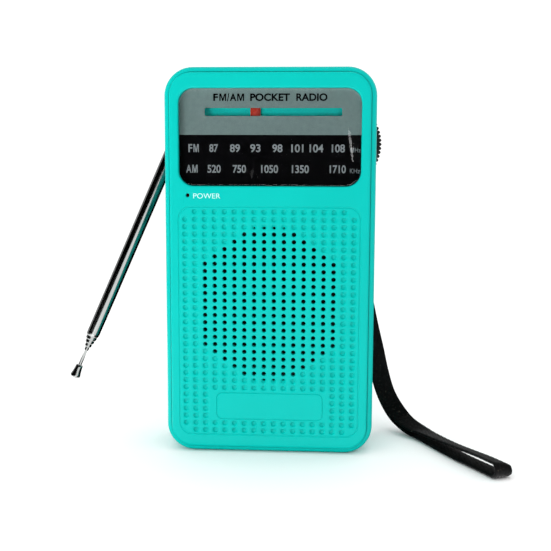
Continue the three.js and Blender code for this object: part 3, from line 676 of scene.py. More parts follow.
def lattice(skin, cells, y, rings_of):
    """Cells that share their rims, each with its own rings inside. Returns the loops along the outside."""
    shared, used, last_rings = {}, {}, {}
    for cell in sorted(cells):
        column, row = cell
        rim = []
        for across, down in CELL_RIM:
            key = (4 * column + across, 4 * (row - 1) + down)
            if key not in shared:
                rim_x = max(-GRID["reach"], min(GRID["reach"], key[0] / 4 * GRID["x"]))
                rim_z = max(GRID["low"], min(GRID["high"], GRID["centre"] - key[1] / 4 * GRID["z"]))
                shared[key] = skin.loop([(rim_x, y, rim_z)])[0]
            rim.append(shared[key])
        for first, second in zip(rim, rim[1:] + rim[:1]):
            used[(first, second)] = True
        x = (column + 0.5) * GRID["x"]
        z = GRID["centre"] - (row - 0.5) * GRID["z"]
        rings = rings_of(cell, x, z)
        for first, second in zip([rim] + rings, rings):
            skin.bridge(first, second)
        last_rings[cell] = rings[-1]
    follows = {a: b for a, b in used if (b, a) not in used}
    loops = []
    while follows:
        start, step = follows.popitem()
        loop = [start]
        while step != start:
            loop.append(step)
            step = follows.pop(step)
        loops.append(loop)
    return sorted(loops, key=len, reverse=True), last_rings


def case_front():
    skin = Skin()
    plate_back = FRONT + COVER["plate"]
    outline = rounded_rect(BODY["width"] - 2 * COVER["inset"], BODY["height"] - 2 * COVER["inset"],
                           COVER["corner"], 0, MID_Z, steps=14)
    edge, wall = COVER["edge"], COVER["skirt_wall"]
    outside = [(edge + SUPPORT, FRONT)] + bend((edge, FRONT), (0, FRONT + edge), steps=6)
    outside.append((0, COVER["skirt_end"] - 0.15))
    inside = [(0.15, COVER["skirt_end"]), (wall, COVER["skirt_end"]), (wall, plate_back)]
    face_rim, back_rim = skin.tower(outline, outside + inside)

    view = rounded_rect(WINDOW["width"], WINDOW["height"], WINDOW["corner"], 0, WINDOW["z"], steps=12)
    lip = WINDOW["lip"]
    opening = [(-lip - SUPPORT, FRONT)] + bend((-lip, FRONT), (0, FRONT + lip), steps=4) + [(0, plate_back)]
    view_front, view_back = skin.tower(view, opening)
    lamp = circle(LED_HOLE["radius"], LED_HOLE["x"], LED_HOLE["z"], sides=24)
    chamfer = bend((-0.12, FRONT), (0, FRONT + 0.12), steps=2)
    lamp_front, lamp_back = skin.tower(lamp, chamfer + [(0, plate_back)])

    def groove(middle, width):
        """A rounded channel along a middle line; returns the loops at its outer and inner shoulder."""
        half = [(1.15, 0), (1, 0), (0.92, 0.12), (0.6, 0.75)]
        shape = half + [(0, 1)] + [(-reach, dip) for reach, dip in reversed(half)]
        depth = PANEL["depth"]
        return skin.tower(middle, [(-reach * width / 2, FRONT + depth * dip) for reach, dip in shape])

    def field(area, left, right, steps):
        """The groove round a field; returns its outer and inner loop."""
        width, height = right - left, area["high"] - area["low"]
        x, z = left + width / 2, area["low"] + height / 2
        return groove(rounded_rect(width, height, area["corner"], x, z, steps), area["groove"])

    panel_outer, panel_inner = field(PANEL, -PANEL["width"] / 2, PANEL["width"] / 2, 12)
    badge_outer, badge_inner = field(BADGE, BADGE["left"], BADGE["right"], 8)

    holes = hole_cells()
    part_holes = {(column, row) for column in PART_HOLES for row in (-10, 11)}

    def front_rings(cell, x, z):
        if cell in holes:
            profile = [(-0.1, FRONT), (-0.03, FRONT + 0.03), (0, FRONT + 0.1), (0, plate_back)]
            ring = circle(HOLES["radius"], x, z, sides=16)
            return [skin.loop((px, y, pz) for px, pz in ring(inset)) for inset, y in profile]
        radius, depth = DIMPLE["radius"], DIMPLE["depth"]
        ring = circle(radius, x, z, sides=16)
        profile = [(0, 0), (0.05, 0.08), (0.13, 0.45), (0.22, 0.84), (0.36, 1)]
        rings = [skin.loop((px, FRONT + depth * y, pz) for px, pz in ring(inset)) for inset, y in profile]
        if cell not in part_holes:
            return rings + [skin.loop([(x, FRONT + depth, z)])]
        column, row = cell
        toward_middle = -0.3 if row < 0 else 0.3
        bore = circle(PART_HOLES[column], x, z + toward_middle, sides=16)()
        return rings[:-2] + [skin.loop((px, y, pz) for px, pz in bore) for y in (FRONT + depth, plate_back)]

    fronts, ends = lattice(skin, grille_cells(), FRONT, front_rings)
    skin.fill(face_rim, view_front, lamp_front, panel_outer)
    skin.fill(panel_inner, fronts[0])
    skin.fill(fronts[1], badge_outer)
    skin.fill(badge_inner)
    backs, _ = lattice(skin, holes | part_holes, plate_back, lambda cell, x, z: [ends[cell]])
    skin.fill(back_rim, view_back, lamp_back, *backs)

    posts = [(x, z, 2.4, floor - 3.4, floor - 11.9) for x, z, floor in CASE_SCREWS]
    posts += [(x, z, 2.2, -2.7, -6.0) for x, z in BOARD_SCREWS]
    for x, z, radius, end, bore in posts:
        post = turned([
            (0, plate_back - 0.4), (radius, plate_back - 0.4), (radius, end - 0.2), (radius - 0.2, end),
            (1.45, end), (1.3, end - 0.15), (1.3, bore), (0, bore),
        ], sides=32)
        skin.add(post.move(Matrix.Translation((x, 0, z))))
    piece_from("case_front", skin, "teal", "case", ["front_cover"], crease=50)


case_front()


# ---- rear cover and battery door
OUT, BEHIND, ABOVE = 40, 15, 121         # clear of the case, for the ends of cuts


def plain_box(x0, x1, y0, y1, z0, z1):
    corners = [(x0, z0), (x1, z0), (x1, z1), (x0, z1)]
    return Skin().slab(lambda inset: corners, [(0, y0), (0, y1)])


def peg(radius, y0, y1, x, z, sides=32):
    return Skin().slab(circle(radius, x, z, sides), [(0, y0), (0, y1)])


def rear_cavity():
    """The room inside, without the linings behind the antenna's rebate."""
    wall = BODY["wall"]
    room = rounded_rect(
        BODY["width"] - 2 * wall, BODY["height"] - 2 * wall, BODY["corner"] - wall, 0, MID_Z, steps=14
    )
    linings = [
        plain_box(-OUT, STEP["x"] + STEP["wall"], STEP["y"] - STEP["wall"], BACK, -1, ABOVE),
        plain_box(-OUT, AERIAL["x"] + 5.9, STEP["y"] - STEP["wall"], BACK, 106, ABOVE),
    ]
    linings += [peg(3.3, floor - 3.1, BEHIND, x, z) for x, z, floor in CASE_SCREWS]
    x, z, half = ANCHOR["x"], ANCHOR["z"], ANCHOR["width"] / 2 + 1.4
    linings.append(plain_box(x - half, x + half, 8.4, BEHIND, z - half, z + half))
    return cut(Skin().slab(room, [(0, FRONT - 1), (0, BACK - wall)]), *linings)


def rear_cuts():
    """Everything that is cut through the shell from outside."""
    x, z, floor = AERIAL["x"], AERIAL["z"], STEP["y"]
    cuts = [
        plain_box(-OUT, STEP["x"], floor, BEHIND, STEP["bottom"], ABOVE),
        peg(4.4, floor, BEHIND, x, z, 48),
        peg(1.3, floor - 3, floor + 1, x, z),
        plain_box(
            DOOR["left"] - GAP, DOOR["right"] + GAP, 5, BEHIND, DOOR["bottom"] - GAP, DOOR["top"] + GAP
        ),
        plain_box(29, OUT, -8.5, -2.5, WHEEL["z"] - 9.9, WHEEL["z"] + 9.9),
        plain_box(-OUT, -29, 1.9, 5.9, VOLUME["z"] - 6.5, VOLUME["z"] + 6.5),
        plain_box(-OUT, -29, 1.4, 5.1, BAND["z"] - 4.6, BAND["z"] + 4.6),
    ]
    for x, z, floor in CASE_SCREWS:
        cuts += [peg(1.3, floor - 5, floor + 1, x, z), peg(2.5, floor - 1.7, floor + 1, x, z)]
    x, z, half = ANCHOR["x"], ANCHOR["z"], ANCHOR["width"] / 2
    cuts.append(plain_box(x - half, x + half, BACK - ANCHOR["depth"], BEHIND, z - half, z + half))
    return cuts + [sideways(turned(disc(3, 29, OUT), 32), 0, JACK["y"], JACK["z"])]


def case_rear():
    outline = rounded_rect(BODY["width"], BODY["height"], BODY["corner"], 0, MID_Z, steps=14)
    inset, roll = RIM["inset"], RIM["roll"]
    profile = bend((inset, RIM["front"]), (0, RIM["front"] + roll), steps=6)
    profile += bend((0, BACK - roll), (inset, BACK), leaves=1, steps=6)
    shell = cut(Skin().slab(outline, profile), rear_cavity(), *rear_cuts())
    piece_from("case_rear", soften(shell, 0.22, angle=50), "teal", "case", ["rear_cover"], 40)


def battery_lid():
    """The snap door, with a finger recess whose floor carries ribs."""
    left, right, bottom, top = (DOOR[side] for side in ("left", "right", "bottom", "top"))
    middle = (left + right) / 2
    outline = rounded_rect(right - left, top - bottom, 0.6, middle, (bottom + top) / 2, steps=4)
    profile = [(0, BACK - BODY["wall"])] + bend((0, BACK - 0.25), (0.25, BACK), leaves=1, steps=3)
    profile.append((0.25 + SUPPORT, BACK))
    recess = rounded_rect(10, 2.4, 1.1, middle, top - 3.8, steps=8)
    door = cut(Skin().slab(outline, profile), Skin().slab(recess, [(0, BACK - 0.7), (0, 15)]))
    for x in (middle + i for i in range(-4, 5)):
        door = join(door, box(x - 0.16, x + 0.16, BACK - 0.9, BACK - 0.35, top - 4.7, top - 2.9, edge=0.1))
    piece_from("battery_lid_door", door, "teal", "battery_lid", ["battery_door"])


case_rear()
battery_lid()


# ---- lettering
BOLD_M = ((0, 0), (0.18, 0), (0.18, 0.72), (0.42, 0), (0.58, 0), (0.82, 0.72), (0.82, 0),
          (1, 0), (1, 1), (0.73, 1), (0.5, 0.32), (0.27, 1), (0, 1))
INK_DEPTH = 0.03


def drawn_m(left, right, low, high, y):
    """A bold M in strokes wide enough to stay open at this size."""
    outline = [(left + u * (right - left), low + v * (high - low)) for u, v in BOLD_M]
    return solid(Skin().slab(lambda inset: outline, [(0, y - INK_DEPTH), (0, y)]))


def lettering(name, words, ink_look, weight=0.0):
    """Thin closed letters on a plane: words holds (text, left, right, low, high, y) with the face at y."""
    gathered = bmesh.new()
    for text, left, right, low, high, y in words:
        if text == "M":
            gathered.from_mesh(drawn_m(left, right, low, high, y))
            continue
        curve = bpy.data.curves.new("letters", "FONT")
        curve.body, curve.extrude, curve.offset, curve.resolution_u = text, 0.02, weight, 6
        mesh = baked(link("letters", curve))
        across = [v.co.x for v in mesh.vertices]
        upward = [v.co.y for v in mesh.vertices]
        wide, tall = max(across) - min(across), max(upward) - min(upward)
        for vertex in mesh.vertices:
            x = left + (vertex.co.x - min(across)) / wide * (right - left)
            z = low + (vertex.co.y - min(upward)) / tall * (high - low)
            depth = INK_DEPTH if vertex.co.z > 0 else 0.0
            vertex.co = Vector((x, y - depth, z)) * MM
        gathered.from_mesh(mesh)
        bpy.data.meshes.remove(mesh)
    bmesh.ops.remove_doubles(gathered, verts=gathered.verts, dist=1e-7)
    bmesh.ops.recalc_face_normals(gathered, faces=gathered.faces)
    made = bpy.data.meshes.new(name)
    gathered.to_mesh(made)
    gathered.free()
    piece_from(name, made, ink_look, "case")


def row(low, high, y, *words):
    """Words of one height on one line, for lettering()."""
    return [(text, left, right, low, high, y) for text, left, right in words]


# ---- dial
def dial_lens():
    edge, front, back = LENS["edge"], LENS["front"], LENS["back"]
    lens = rounded_rect(LENS["width"], LENS["height"], LENS["corner"], 0, WINDOW["z"], steps=12)
    profile = [(edge + SUPPORT, front)] + bend((edge, front), (0, front + edge), steps=2)
    profile += bend((0, back - edge), (edge, back), leaves=1, steps=2) + [(edge + SUPPORT, back)]
    piece_from("dial_window", Skin().slab(lens, profile), "lens", "case", ["dial_lens"])


def dial_card():
    """The printed card: grey above the line, black below it, with the pointer's slot."""
    front, back, half = CARD["front"], CARD["back"], CARD["width"] / 2
    corners = rounded_rect(CARD["width"], CARD["height"], CARD["corner"], 0, WINDOW["z"], steps=8)

    def outline(inset):
        points = corners(inset)
        quarter = len(points) // 4
        side = half - inset
        return (points[:quarter] + [(side, PRINT_EDGE)] + points[quarter:3 * quarter]
                + [(-side, PRINT_EDGE)] + points[3 * quarter:])

    slot = rounded_rect(SLOT["width"], SLOT["height"], 0.5, SLOT["x"], SLOT["z"], steps=4)
    skin = Skin()
    skin.paint = 1
    face, rear = skin.tower(outline, [(0, front), (0, back)])
    slot_front, slot_back = skin.tower(slot, [(0, front), (0, back)])
    skin.fill(rear, slot_back)
    quarter = (len(face) - 2) // 4
    first, second = quarter, 3 * quarter + 1
    skin.fill(face[second:] + face[:first + 1])
    skin.paint = 0
    skin.fill(face[first:second + 1], slot_front)
    piece_from("dial_card", skin, "grey_ink black_ink", "case", ["dial_scale"])

    title = row(109.7, 111.9, front, ("F", -17.25, -15.85), ("M", -15.4, -13.3))
    title += row(109.6, 112.0, front, ("/", -13.05, -12.35))
    title += row(109.7, 111.9, front, ("A", -12.2, -10.2), ("M", -9.95, -7.85))
    title += row(109.65, 111.95, front, ("POCKET", -6.0, 6.1), ("RADIO", 8.0, 17.46))
    lettering("title_print", title, "title_ink", weight=0.034)
    scale = row(
        94.25, 96.7, front, ("F", -25.0, -23.8), ("M", -23.45, -21.8), ("87", -18.55, -15.84),
        ("89", -12.2, -9.1), ("93", -6.0, -2.8), ("98", 0.8, 3.9), ("101", 6.6, 10.3), ("104", 12.15, 16.35),
        ("108", 18.9, 22.9),
    )
    scale += row(
        87.95, 90.4, front, ("A", -25.75, -24.1), ("M", -23.85, -22.2), ("520", -19.15, -15.05),
        ("750", -11.35, -7.25), ("1050", -2.6, 2.6), ("1350", 6.8, 12.0), ("1710", 18.35, 23.25),
    )
    lettering("scale_print", scale, "number_ink", weight=0.022)
    units = row(94.3, 95.7, front, ("M", 24.6, 25.65), ("Hz", 25.95, 27.6))
    units += row(88.0, 89.4, front, ("KHz", 24.5, 27.5))
    lettering("unit_print", units, "number_ink", weight=-0.004)


def lamp_print():
    words = row(80.15, 81.7, FRONT, ("POWER", -23.3, -15.0))
    lettering("lamp_print", words, "white_ink", weight=-0.006)


def dial_pointer():
    """A red bar with a raised middle and bevelled flanks, and the arm that reaches back to the cord."""
    x, half = POINTER["x"], POINTER["width"] / 2
    needle = rounded_rect(2 * half, 7.1, 0.9, x, 107.55, steps=4)
    bar = Skin().slab(needle, [
        (0.75, -10.9), (0.7, -10.88), (0.08, -10.5), (0, -10.42), (0, -10.28), (0.08, -10.2),
    ])
    mesh = join(bar, box(x - half, x + half, -10.6, -6.8, 110.3, 111.1, edge=0.15))
    piece_from("pointer_bar", mesh, "red", "pointer", ["dial_pointer"])


def pointer_track():
    """The turquoise plate behind the slot, in the case's teal painted lighter to cancel the shade it sits in.
    """
    plate = rounded_rect(56, 7.1, 0.5, 0, 105.05, steps=3)
    skin = Skin().slab(plate, [(0.1, -9.8), (0, -9.7), (0, -8.7), (0.1, -8.6)])
    piece_from("pointer_track", skin, "shade_lifted_teal", "case", ["dial_backplate"])


def pulley():
    half = [(2.05, 0), (2.1, 0.25), (2.5, 0.5), (2.5, 0.7), (2.35, 0.8), (0.9, 0.8)]
    profile = [(radius, -y) for radius, y in reversed(half)] + half[1:] + [(0.9, -0.8)]
    sheave = turned([(radius, PULLEY["y"] + y) for radius, y in profile])
    sheave.move(Matrix.Translation((PULLEY["x"], 0, PULLEY["z"])))
    piece_from("cord_sheave", sheave, "nylon", "pulley", ["dial_pulley"])


dial_lens()
dial_card()
lamp_print()
dial_pointer()
pointer_track()
pulley()


# ---- wheels and side controls
def beaded(radius, teeth, depth, x, z, steps=8):
    """A wheel's outline with round beads around it."""
    def outline(inset=0.0):
        points = []
        for i in range(teeth * steps):
            turn = 2 * math.pi * i / (teeth * steps)
            valley = 1 - abs(math.cos(teeth / 2 * turn)) ** 0.6
            reach = radius - inset - depth * valley * max(0.0, 1 - inset / 0.8)
            points.append((x + reach * math.cos(turn), z + reach * math.sin(turn)))
        return points
    return outline


def rounded_rim(front, back, round_over):
    """The profile of a wheel's rim, rounded over to both faces."""
    ahead = bend((0.75, front), (0, front + round_over), steps=4)
    return ahead + bend((0, back - round_over), (0.75, back), leaves=1, steps=4)


def tuning_knob():
    x, z = WHEEL["x"], WHEEL["z"]
    front, back, drum = WHEEL["front"], WHEEL["back"], WHEEL["drum"]
    rim = beaded(WHEEL["radius"], WHEEL["teeth"], 0.7, x, z)
    skin = Skin()
    face, rear = skin.tower(rim, rounded_rim(front, back, 0.9))
    drum_base, drum_end = skin.tower(circle(drum, x, z, len(face)), [
        (0, front), (0, -6.7), (0.3, -6.9), (0.35, -7.2), (0.3, -7.5), (0, -7.6), (-0.9, -7.6), (-1.0, -7.7),
        (-1.0, -7.9), (-0.9, -8),
    ])
    skin.bridge(face, drum_base)
    sink, bore = skin.tower(circle(2.9, x, z, 64), [(0, -8), (0, -6.2), (1.5, -6.2), (1.5, -4.1)])
    skin.fill(drum_end, sink)
    hub_edge, hub_end = skin.tower(circle(3.3, x, z, 64), [(0, back), (0, -4.1)])
    skin.fill(rear, hub_edge)
    skin.fill(hub_end, bore)
    piece_from("tuning_knob", skin, "black", "tuner", ["tuning_wheel"], crease=40)


def volume_knob():
    x, z, front, back = (VOLUME[key] for key in ("x", "z", "front", "back"))
    rim = beaded(VOLUME["radius"], VOLUME["teeth"], 0.45, x, z, steps=10)
    skin = Skin()
    face, rear = skin.tower(rim, rounded_rim(front, back, 0.8))
    bore_front, bore_back = skin.tower(circle(1.3, x, z, 48), [(0, front), (0, back)])
    skin.fill(face, bore_front)
    skin.fill(rear, bore_back)
    piece_from("volume_knob", skin, "black", "volume", ["volume_wheel"], crease=40)


def band_knob():
    """A slide knob with ribs across its cap for a fingernail."""
    y, low, high = BAND["y"], 63.6, 68.0
    cap = box(-32.9, -30.1, y - 1.5, y + 1.5, low, high, edge=0.3)
    stem = box(-30.4, -27.0, y - 1.1, y + 1.1, 63.9, 67.7, edge=0.15)
    ribs = []
    for i in range(5):
        z = low + 0.8 + i * 0.7
        ribs.append(box(-33.3, -32.6, y - 1.3, y + 1.3, z - 0.2, z + 0.2, edge=0.12))
    knob = join(cap, stem, *ribs)
    piece_from("band_knob_cap", knob, "black", "band_knob", ["band_switch_knob"])


def earphone_socket():
    y, z = JACK["y"], JACK["z"]
    body = box(18.5, 28.2, -0.5, 6.1, z - 3.4, z + 3.4, edge=0.25)
    collar = sideways(turned([(0, -0.3), (2.6, -0.3), (2.6, 3.1), (2.45, 3.4), (0, 3.4)]), 28.0, y, z)
    bore = sideways(turned([(0, -7), (1.8, -7), (1.8, 3.3), (1.95, 3.6), (0, 3.6)]), 28.0, y, z)
    mesh = cut(join(body, collar), bore)
    piece_from("earphone_socket", mesh, "soft_black", "case", ["earphone_jack"])


tuning_knob()
volume_knob()
band_knob()
earphone_socket()


# ---- antenna
def mast_place():
    """The antenna's own frame: it swings about Y through the foot's screw, and the mast runs along -Z."""
    return Matrix.Translation((AERIAL["x"], AERIAL["y"], AERIAL["z"])) @ Matrix.Rotation(
        math.radians(AERIAL["swing"]), 4, "Y"
    )


def down_mast(profile, sides=64):
    """A turned piece whose stations count from the pivot towards the tip."""
    skin = turned(profile, sides)
    skin.move(Matrix.Rotation(math.radians(-90), 4, "X"))
    return skin.move(mast_place())


def across_mast(profile):
    """A turned piece along the axis of the mast's rivet."""
    return sideways(turned(profile)).move(mast_place())


def antenna_mast():
    nose, collar = AERIAL["nose"], AERIAL["collar"]
    outer, inner, top = SECTIONS[0]
    tube = down_mast([
        (0, 3.9), (outer - 0.6, 3.9), (outer - 0.15, 4.2), (outer, 4.7), (outer, nose - 1.3),
        (outer - 0.04, nose - 0.7), (outer - 0.12, nose - 0.15), (outer - 0.2, nose), (inner - 0.02, nose),
        (inner - 0.05, nose - 0.2), (inner - 0.05, top), (0, top),
    ])
    neck = box(-0.75, 0.75, -1.3, 1.3, -4.2, -0.2, edge=0.15).move(mast_place())
    mesh = join(tube, neck, across_mast(disc(1.8, -0.75, 0.75, 0.1)))
    mesh = cut(mesh, across_mast(disc(0.9, -2, 2)))
    piece_from("mast_tube_1", mesh, "chrome", "mast_1", ["antenna_section_1"])
    for i, (outer, inner, top) in enumerate(SECTIONS[1:], start=2):
        end = nose + (i - 1) * collar
        tube = down_mast([
            (inner, top), (outer - 0.05, top), (outer, top + 0.1), (outer, end - 0.45),
            (outer - 0.04, end - 0.15), (outer - 0.14, end), (inner, end), (inner, top),
        ])
        piece_from(f"mast_tube_{i}", tube, "chrome", f"mast_{i}", [f"antenna_section_{i}"])


def antenna_end():
    """The thin rod and the bell-shaped tip that is pulled on."""
    collar = AERIAL["nose"] + len(SECTIONS) * AERIAL["collar"]
    rod = down_mast([
        (0, 17), (0.66, 17), (0.72, 17.1), (0.72, collar - 0.2), (0.58, collar), (0.58, collar + 5.5),
        (0, collar + 5.5),
    ])
    piece_from("mast_rod", rod, "chrome", "mast_5", ["antenna_rod"])
    tip = down_mast([(radius, collar + 5.8 + station) for radius, station in (
        (0, 0), (1.0, 0), (1.14, 0.1), (1.2, 0.5), (1.28, 1.2), (1.38, 2.0), (1.52, 2.8), (1.66, 3.4),
        (1.74, 3.8), (1.75, 4.05), (1.7, 4.25), (1.55, 4.38), (1.1, 4.5), (0.55, 4.58), (0, 4.6),
    )])
    piece_from("mast_tip", tip, "chrome", "mast_5", ["antenna_tip"], crease=60)


def antenna_foot():
    """The foot turns on its screw; two ears hold the mast's rivet."""
    place = mast_place()
    floor = -3.1
    foot = turned(disc(3.3, floor, floor + 1, 0.15)).move(place)
    for near, far in ((-2.1, -1.1), (1.1, 2.1)):
        web = box(near, far, floor + 0.7, 0, -2, 2, edge=0.1).move(place)
        foot = join(foot, across_mast(disc(2, near, far, 0.12)), web)
    bore = turned(disc(1.25, floor - 1, floor + 1.2)).move(place)
    foot = cut(foot, across_mast(disc(0.9, -4, 4)), bore)
    piece_from("antenna_foot", foot, "chrome", "swivel", ["antenna_swivel"])
    head = [(0.6, 2.4), (1.28, 2.4), (1.3, 2.42), (1.2, 2.58), (0.8, 2.68), (0, 2.7)]
    rivet = across_mast([(radius, -reach) for radius, reach in reversed(head)] + head)
    piece_from("antenna_rivet", rivet, "chrome", "swivel", ["antenna_pin"])


antenna_mast()
antenna_end()
antenna_foot()


# ---- screws
def pan_screw(head, height, shank, length, cross=0.8):
    """A pan head with a cross recess on a threaded shank; the head's seat is at 0 and it points to -Y."""
    thread = [(0, -length), (shank * 0.5, -length)]
    pitch = 0.6
    turns = int((length - 0.8) / pitch)
    for i in range(turns):
        y = -length + 0.4 + i * pitch
        ridge = ((0.8, 0), (1, 0.35), (1, 0.5), (0.8, 0.85))
        thread += [(shank * share, y + pitch * rise) for share, rise in ridge]
    profile = thread + [(shank * 0.8, 0), (head - 0.1, 0), (head, 0.1), (head, height * 0.45)]
    dome = ((0.96, 0.68), (0.84, 0.86), (0.62, 0.96), (0.3, 1), (0, 1))
    profile += [(head * share, height * rise) for share, rise in dome]
    return crossed(turned(profile, 40), head * 0.62, 0.2, height - cross, height + 1)


def crossed(shape, long, short, low, high):
    """Cuts a cross recess between two stations."""
    for half_x, half_z in ((long, short), (short, long)):
        shape = cut(shape, box(-half_x, half_x, low, high, -half_z, half_z, edge=0.06))
    return shape


def screws():
    long, short = pan_screw(2.1, 1.1, 1.0, 9.5), pan_screw(2.1, 1.1, 1.0, 4.6)
    places = [("case", i, long, x, z, floor - 1.4) for i, (x, z, floor) in enumerate(CASE_SCREWS, 1)]
    places += [("board", i, short, x, z, -0.5) for i, (x, z) in enumerate(BOARD_SCREWS, 1)]
    for kind, i, mesh, x, z, y in places:
        own = mesh.copy()
        own.transform(Matrix.Translation(Vector((x, y, z)) * MM) @ Matrix.Rotation(x * 0.7, 4, "Y"))
        piece_from(f"{kind}_bolt_{i}", own, "steel", "case", [f"{kind}_screw_{i}"])
    bolt = turned([
        (0, 5.2), (2.1, 5.2), (2.3, 5.4), (2.3, 6.3), (2.2, 6.4), (0.95, 6.4), (0.95, 9.0), (0.85, 9.1),
        (0, 9.1),
    ])
    bolt.move(Matrix.Translation((AERIAL["x"], 0, AERIAL["z"])))
    piece_from("antenna_bolt", bolt, "steel", "case", ["antenna_screw"])
    wheel_screw = turned([
        (0, -3.2), (0.9, -3.2), (1, -3.3), (1, -6.7), (2.4, -6.7), (2.5, -6.8), (2.5, -7.4), (2.3, -7.75),
        (1.6, -7.9), (0, -7.9),
    ])
    wheel_screw = crossed(wheel_screw, 1.7, 0.22, -9, -7.3)
    wheel_screw.transform(Matrix.Translation(Vector((WHEEL["x"], 0, WHEEL["z"])) * MM))
    piece_from("tuning_bolt", wheel_screw, "nickel", "tuner", ["tuning_wheel_screw"])


screws()


# ---- loudspeaker and cells
def loudspeaker():
    def ring(profile):
        """A turned piece about the speaker's axis, with stations from its front."""
        skin = turned([(radius, SPEAKER_FRONT + y) for radius, y in profile], 96)
        return skin.move(Matrix.Translation((0, 0, GRID["centre"])))

    basket = ring([
        (22, 0), (24.8, 0), (25, 0.2), (25, 1.4), (24.8, 1.6), (22.6, 1.6), (22.2, 1.9), (12.4, 6.5),
        (12, 6.8), (8, 6.8), (8, 5.8), (11.6, 5.8), (21.6, 1.2), (22, 0.9), (22, 0),
    ])
    piece_from("speaker_basket", basket, "black_steel", "case", ["speaker_frame"])
    dome = [(0, 2.3), (3.5, 2.5), (5.6, 3.1), (6, 3.4)]
    ribs = [
        (6 + 12.4 * i / 12, 3.4 - 2.6 * i / 12 + 0.12 * math.sin(i * math.pi / 2)) for i in range(1, 13)
    ]
    surround = [(19.0, 0.7), (19.8, 0.25), (20.6, 0.2), (21.4, 0.2)]
    rear = [(21.4, 0.5), (20.6, 0.55), (19, 1.1), (6, 4.6), (5.2, 4.0), (0, 3.4)]
    cone = ring(dome + ribs + surround + rear)
    piece_from("speaker_paper", cone, "paper", "case", ["speaker_cone"])
    magnet = ring([
        (0, 7.1), (11.7, 7.1), (12, 7.4), (12, 12.4), (11.7, 12.7), (11.2, 12.7), (11.2, 12.9), (11.6, 13),
        (11.8, 13.2), (11.8, 14.9), (11.5, 15.2), (3.2, 15.2), (3, 14.8), (0, 14.8),
    ])
    piece_from("speaker_magnet_cup", magnet, "ferrite", "case", ["speaker_magnet"])


def cells():
    """AA cells: a printed sleeve with a turned-in end, a crimp, and the nub at the plus end."""
    length, radius = CELL["length"], CELL["radius"]
    body = length - 1.8
    for i, (z, end) in enumerate(zip(CELL["z"], (-1, 1)), start=1):
        skin = turned([
            (0, 0.15), (5.2, 0.15), (5.4, 0), (6.4, 0), (6.7, 0.25), (radius - 0.15, 0.3), (radius, 0.5),
            (radius, body - 0.5), (radius - 0.15, body - 0.2), (6.4, body), (5.6, body), (5.4, body - 0.25),
            (3.1, body - 0.25), (2.9, body - 0.1), (2.7, body + 0.1), (2.7, length - 0.6),
            (2.4, length - 0.35), (0, length - 0.3),
        ], 64)
        for k, corners in enumerate(skin.faces):
            points = [skin.points[p] for p in corners]
            printed = min(math.hypot(x, up) for x, _, up in points) > 6.5
            stations = [y for _, y, _ in points]
            skin.paints[k] = 1 if printed and min(stations) > 0.2 and max(stations) < body + 0.01 else 0
        skin.move(Matrix.Rotation(math.radians(90 * end), 4, "Z"))
        skin.move(Matrix.Translation((CELL["x"] + end * length / 2, CELL["y"], z)))
        piece_from(f"cell_{i}", skin, "nickel cell", "case", [f"battery_{i}"])


loudspeaker()
cells()


# ---- parts that keep their CAD shape
def grained(name, colour, gloss, spread, scale, grain, stretch=None, metallic=0.0):
    look = Look(name).mottle(colour, spread, scale, stretch).gloss(gloss - 0.06, gloss + 0.1, 400.0, stretch)
    look.bump(look.noise(scale * 8, 4.0, stretch), grain)
    return look.set(Metallic=metallic).material


def board_look():
    """Phenolic laminate with darker solder mask where copper runs beneath it."""
    look = Look("phenolic_laminate")
    tracks = look.noise(90.0, 0.0)
    weave = look.noise(700.0, 4.0)
    base = look.ramp(weave, [(0.3, srgb(150, 108, 56)), (0.7, srgb(172, 128, 70))])
    mask = look.ramp(tracks, [(0.49, (0, 0, 0, 1)), (0.51, (1, 1, 1, 1))])
    look.set(Base_Color=look.mix(mask, base, srgb(84, 110, 52))).gloss(0.35, 0.55)
    return look.bump(mask, 0.03).material


def wound_look():
    """Enamelled copper wire wound side by side across the sleeve, with painted shade in the grooves between
    turns and painted highlight on their crowns.
    """
    look = Look("wound_copper")
    wave = look.wave(900.0, 0.3, "X")
    # painted shade and highlight: the colour follows the bump's wave, dark in the grooves and light on the
    # crowns
    look.set(Base_Color=look.ramp(wave, [(0.1, srgb(84, 34, 14)), (0.6, srgb(178, 92, 44))]), Metallic=0.6)
    return look.gloss(0.3, 0.45).bump(wave, 0.08).material


def string_look():
    """Twisted dial string with its strands running slantwise, with painted shade in the grooves between
    strands and painted highlight on their crowns.
    """
    look = Look("dial_string")
    wave = look.wave(700.0, 1.0, "DIAGONAL")
    # painted shade and highlight: the colour follows the bump's wave, dark in the grooves and light on the
    # crowns
    look.set(Base_Color=look.ramp(wave, [(0.2, srgb(176, 168, 146)), (0.7, srgb(226, 220, 202))]))
    return look.gloss(0.6, 0.8).bump(wave, 0.05).material


def lamp_look():
    look = Look("led_red").mottle(srgb(150, 14, 10), 0.1, 300.0).gloss(0.08, 0.16)
    return look.set(Transmission_Weight=0.35, IOR=1.5).material


